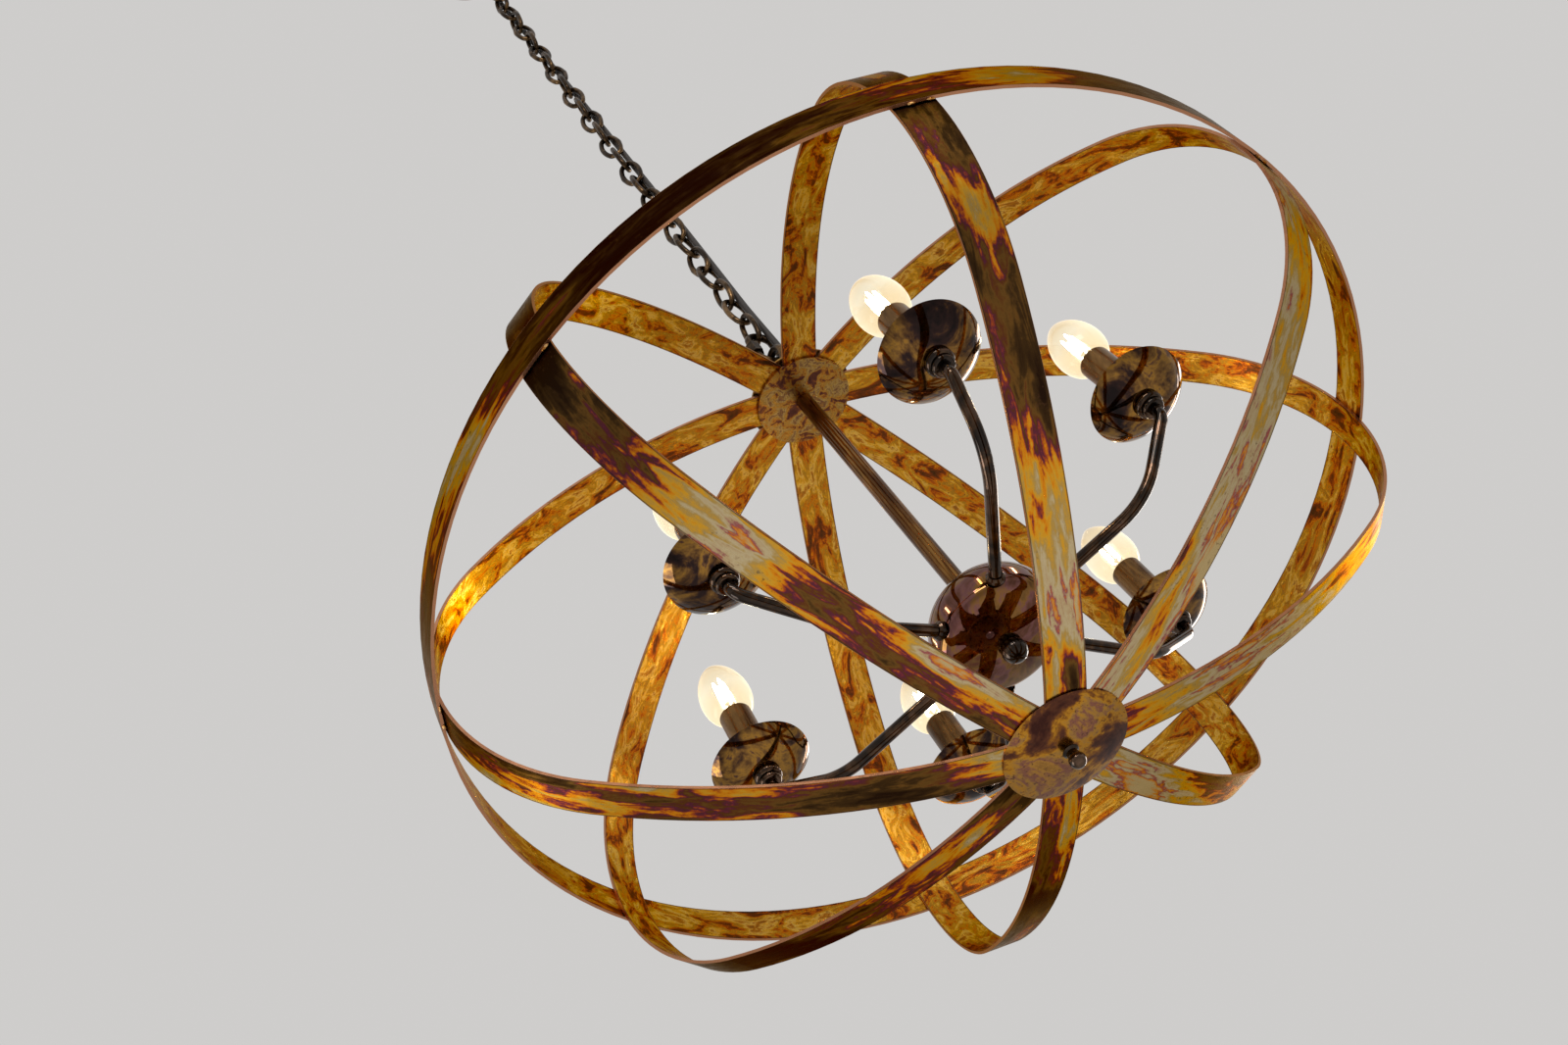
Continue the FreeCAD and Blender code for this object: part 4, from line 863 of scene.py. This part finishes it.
def link_wire(height, direction, weld_side):
    """Centre line and wire radii of one link, with the swelling of its weld on one leg."""
    half_width = (LINK_INSIDE + LINK_WIRE) / 2
    inner_length = LINK_PITCH + LINK_GAP
    half_length = (inner_length + LINK_WIRE) / 2
    turn = Matrix.Rotation(math.radians(direction), 3, "Z")
    route, radii = [], []
    for across, from_middle in oval(half_width, half_length, LINK_END_BEND):
        rise = from_middle + inner_length / 2
        route.append(turn @ Vector((across, 0, height + rise - DROP)) * MM)
        from_weld = math.hypot(across - weld_side * half_width, from_middle)
        swelling = WELD_SWELLING * math.exp(-(from_weld / WELD_LENGTH) ** 2)
        radii.append(LINK_WIRE / 2 * (1 + swelling) * MM)
    return route, radii


link_wires = []
for number in range(LINKS):
    slack = chance.uniform(-SLACK_TURN, SLACK_TURN) if 0 < number < LINKS - 1 else 0
    link_wires.append(link_wire(LINK_BASE + number * LINK_PITCH,
                                FIRST_LINK_TURN + number * LINK_TURN + slack,
                                chance.choice((-1, 1))))
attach(wire_piece("welded_links", link_wires[:-1], chain_steel, "chain_links",
                   closed=True), "chain")
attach(wire_piece("welded_top_link", link_wires[-1:], chain_steel, "top_link",
                   closed=True), "top_link")

CABLE_RADIUS = 2.6
CABLE_OFFSET = 7.6
CORNER_SHARE = 0.45
CORNER_STEPS = 16
ROUTE_STEP = 1.2


def beside_chain(height, offset=CABLE_OFFSET):
    """A point of the cable in the free corner between the links, which turns with the twist
    of the chain."""
    links_up = max((height - LINK_BASE) / LINK_PITCH - 0.5, 0)
    angle = math.radians(FIRST_LINK_TURN + SQUARE / 2 + (LINK_TURN - SQUARE) * links_up)
    return Vector((offset * math.cos(angle), offset * math.sin(angle), height - DROP)) * MM


def on_axis(height):
    """A point of the chain's axis."""
    return Vector((0, 0, height - DROP)) * MM


def cable_route(points):
    """Straight runs through the given points with a smooth bend at every corner."""
    route = [points[0]]
    for before, corner, after in zip(points, points[1:], points[2:]):
        reach = CORNER_SHARE * min((corner - before).length, (after - corner).length)
        enter = corner + (before - corner).normalized() * reach
        leave = corner + (after - corner).normalized() * reach
        for step in range(CORNER_STEPS + 1):
            share = step / CORNER_STEPS
            route.append(enter.lerp(corner, share).lerp(corner.lerp(leave, share), share))
    route.append(points[-1])
    dense = []
    for here, there in zip(route, route[1:]):
        pieces = max(int((there - here).length / (ROUTE_STEP * MM)), 1)
        dense += [here.lerp(there, step / pieces) for step in range(pieces)]
    return dense + [route[-1]]


def cable_end(name, route, node, upper, lower, blend_top, blend_foot):
    """One stretch of jacket along a route, left in place in the scene."""
    piece = wire_piece(name, [(route, [CABLE_RADIUS * MM] * len(route))], jacket, node)
    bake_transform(piece)


def split_route(route, height):
    """The stretches of a route before and after it passes a height. They share a ring."""
    nearest = min(range(len(route)),
                  key=lambda index: abs(route[index].z / MM + DROP - height))
    return route[:nearest + 1], route[nearest:]


# Where the cable turns from beside the chain onto its axis, at the orb and under the
# ceiling, and where each turn is split between two pieces.
LOW_START = 340
LOW_BEND = 280
LOW_SPLIT = 281
LOW_TURN = 264
LOW_AXIS = 249.5
LOW_END = 227
LOW_OFFSET = 9.4
TOP_START = 1060
TOP_BEND = 1120
TOP_SPLIT = 1151
TOP_TURN = 1169
TOP_AXIS = 1184
TOP_END = 1219
TOP_OFFSET = 10.2
# Two heights at each joint: quick link, hub, top link, ceiling.
QUICK_LINK_BEND = (307, 286)
HUB_BEND = (275, 254)
TOP_LINK_BEND = (1147, 1124)
CEILING_BEND = (1180, 1155)

low_bend = beside_chain(LOW_BEND, LOW_OFFSET)
low_route = cable_route([low_bend.lerp(beside_chain(LOW_START), 0.5), low_bend,
                         beside_chain(LOW_TURN, LOW_OFFSET), on_axis(LOW_AXIS),
                         on_axis(LOW_END)])
upper, lower = split_route(low_route, LOW_SPLIT)
cable_end("jacket_low_upper", upper, "cable_bottom_tail", "chain", "quick_link",
          *QUICK_LINK_BEND)
cable_end("jacket_low_lower", lower, "cable_bottom_tail", "quick_link", "orb", *HUB_BEND)
top_bend = beside_chain(TOP_BEND)
top_route = cable_route([beside_chain(TOP_START).lerp(top_bend, 0.5), top_bend,
                         beside_chain(TOP_TURN, TOP_OFFSET), on_axis(TOP_AXIS),
                         on_axis(TOP_END)])
lower, upper = split_route(top_route, TOP_SPLIT)
cable_end("jacket_top_lower", lower, "cable_top_tail", "top_link", "chain", *TOP_LINK_BEND)
cable_end("jacket_top_upper", upper, "cable_top_tail", "ceiling", "top_link", *CEILING_BEND)

# The cores run from the end of the jacket to the poles of the terminal block. Places from
# the ceiling's middle, for the core on the side of +X. The middle core lies at X = 0.
CORE_RADIUS = 0.9
CORE_START = (1.85, -0.4, -10.95)
CORE_BEND = (2.2, 1.0, -5.5)
CORE_FOOT = (7.0, 14.1, -11.5)
core_wires = []
for side in (-1, 0, 1):
    start_across, start_back, start_height = CORE_START
    spots = [Vector((side * start_across, abs(side) * start_back, start_height)) * MM]
    for across, back, height in (CORE_BEND, CORE_FOOT):
        spots.append(Vector((side * across, back, height)) * MM)
    route = cable_route(spots)
    core_wires.append((route, [CORE_RADIUS * MM] * len(route)))
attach(wire_piece("supply_cores", core_wires, jacket, "cable_top_tail"),
        "ceiling")


# ---- brazing at the crossings -------------------------------------------------------

# Beads sit on the band's edges, spread across each hoop, about as wide, long and high as
# their size says.
BEAD_RADIUS = 323.3
BEAD_EDGE = 14.2
BEAD_SPREAD = 10.5
BEAD_SIZE = (1.2, 2.9, 1.1)
SMALLEST_BEAD = 0.55
BEADS_EACH = 4
BEAD_DETAIL = 3
LUMP_DEPTH = 0.34
LUMP_SCALE = 1.3
LUMP_SHIFT = 90
BRAZE = [
    (0.36, (0.180, 0.060, 0.020)),
    (0.48, (0.520, 0.230, 0.040)),
    (0.56, (0.760, 0.480, 0.200)),
    (0.66, (0.300, 0.120, 0.040)),
]


def bead(into, place, size):
    """One lump of braze, drawn out along the joint and uneven all round."""
    made = bmesh.ops.create_icosphere(into, subdivisions=BEAD_DETAIL, radius=1.0)["verts"]
    for corner in made:
        lump = 1 + LUMP_DEPTH * noise.noise(corner.co * LUMP_SCALE
                                            + place.translation * LUMP_SHIFT)
        corner.co = place @ Vector([part * scale * MM * lump
                                    for part, scale in zip(corner.co, size)])


beads = bmesh.new()
for number in range(HOOPS):
    for spot in range(BEADS_EACH):
        side = 1 if spot % 2 else -1
        sideways = math.degrees(chance.uniform(-BEAD_SPREAD, BEAD_SPREAD) / BEAD_RADIUS)
        direction = math.radians(FIRST_HOOP + 360 / HOOPS * number + sideways)
        place = (Matrix.Translation(ORB_CENTRE) @ Matrix.Rotation(direction, 4, "Z")
                 @ Matrix.Translation((BEAD_RADIUS * MM, 0, side * BEAD_EDGE * MM)))
        bead(beads, place, [part * chance.uniform(SMALLEST_BEAD, 1.0) for part in BEAD_SIZE])
bead_mesh = bpy.data.meshes.new("braze_beads")
beads.to_mesh(bead_mesh)
beads.free()
bead_mesh.shade_smooth()
braze = bpy.data.objects.new("braze_beads", bead_mesh)
scene.collection.objects.link(braze)
bead_mesh.materials.append(mottled("braze_gold", BRAZE, scale=220, seed=1.0,
                                   roughness=(0.15, 0.35)))
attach(braze, "orb")
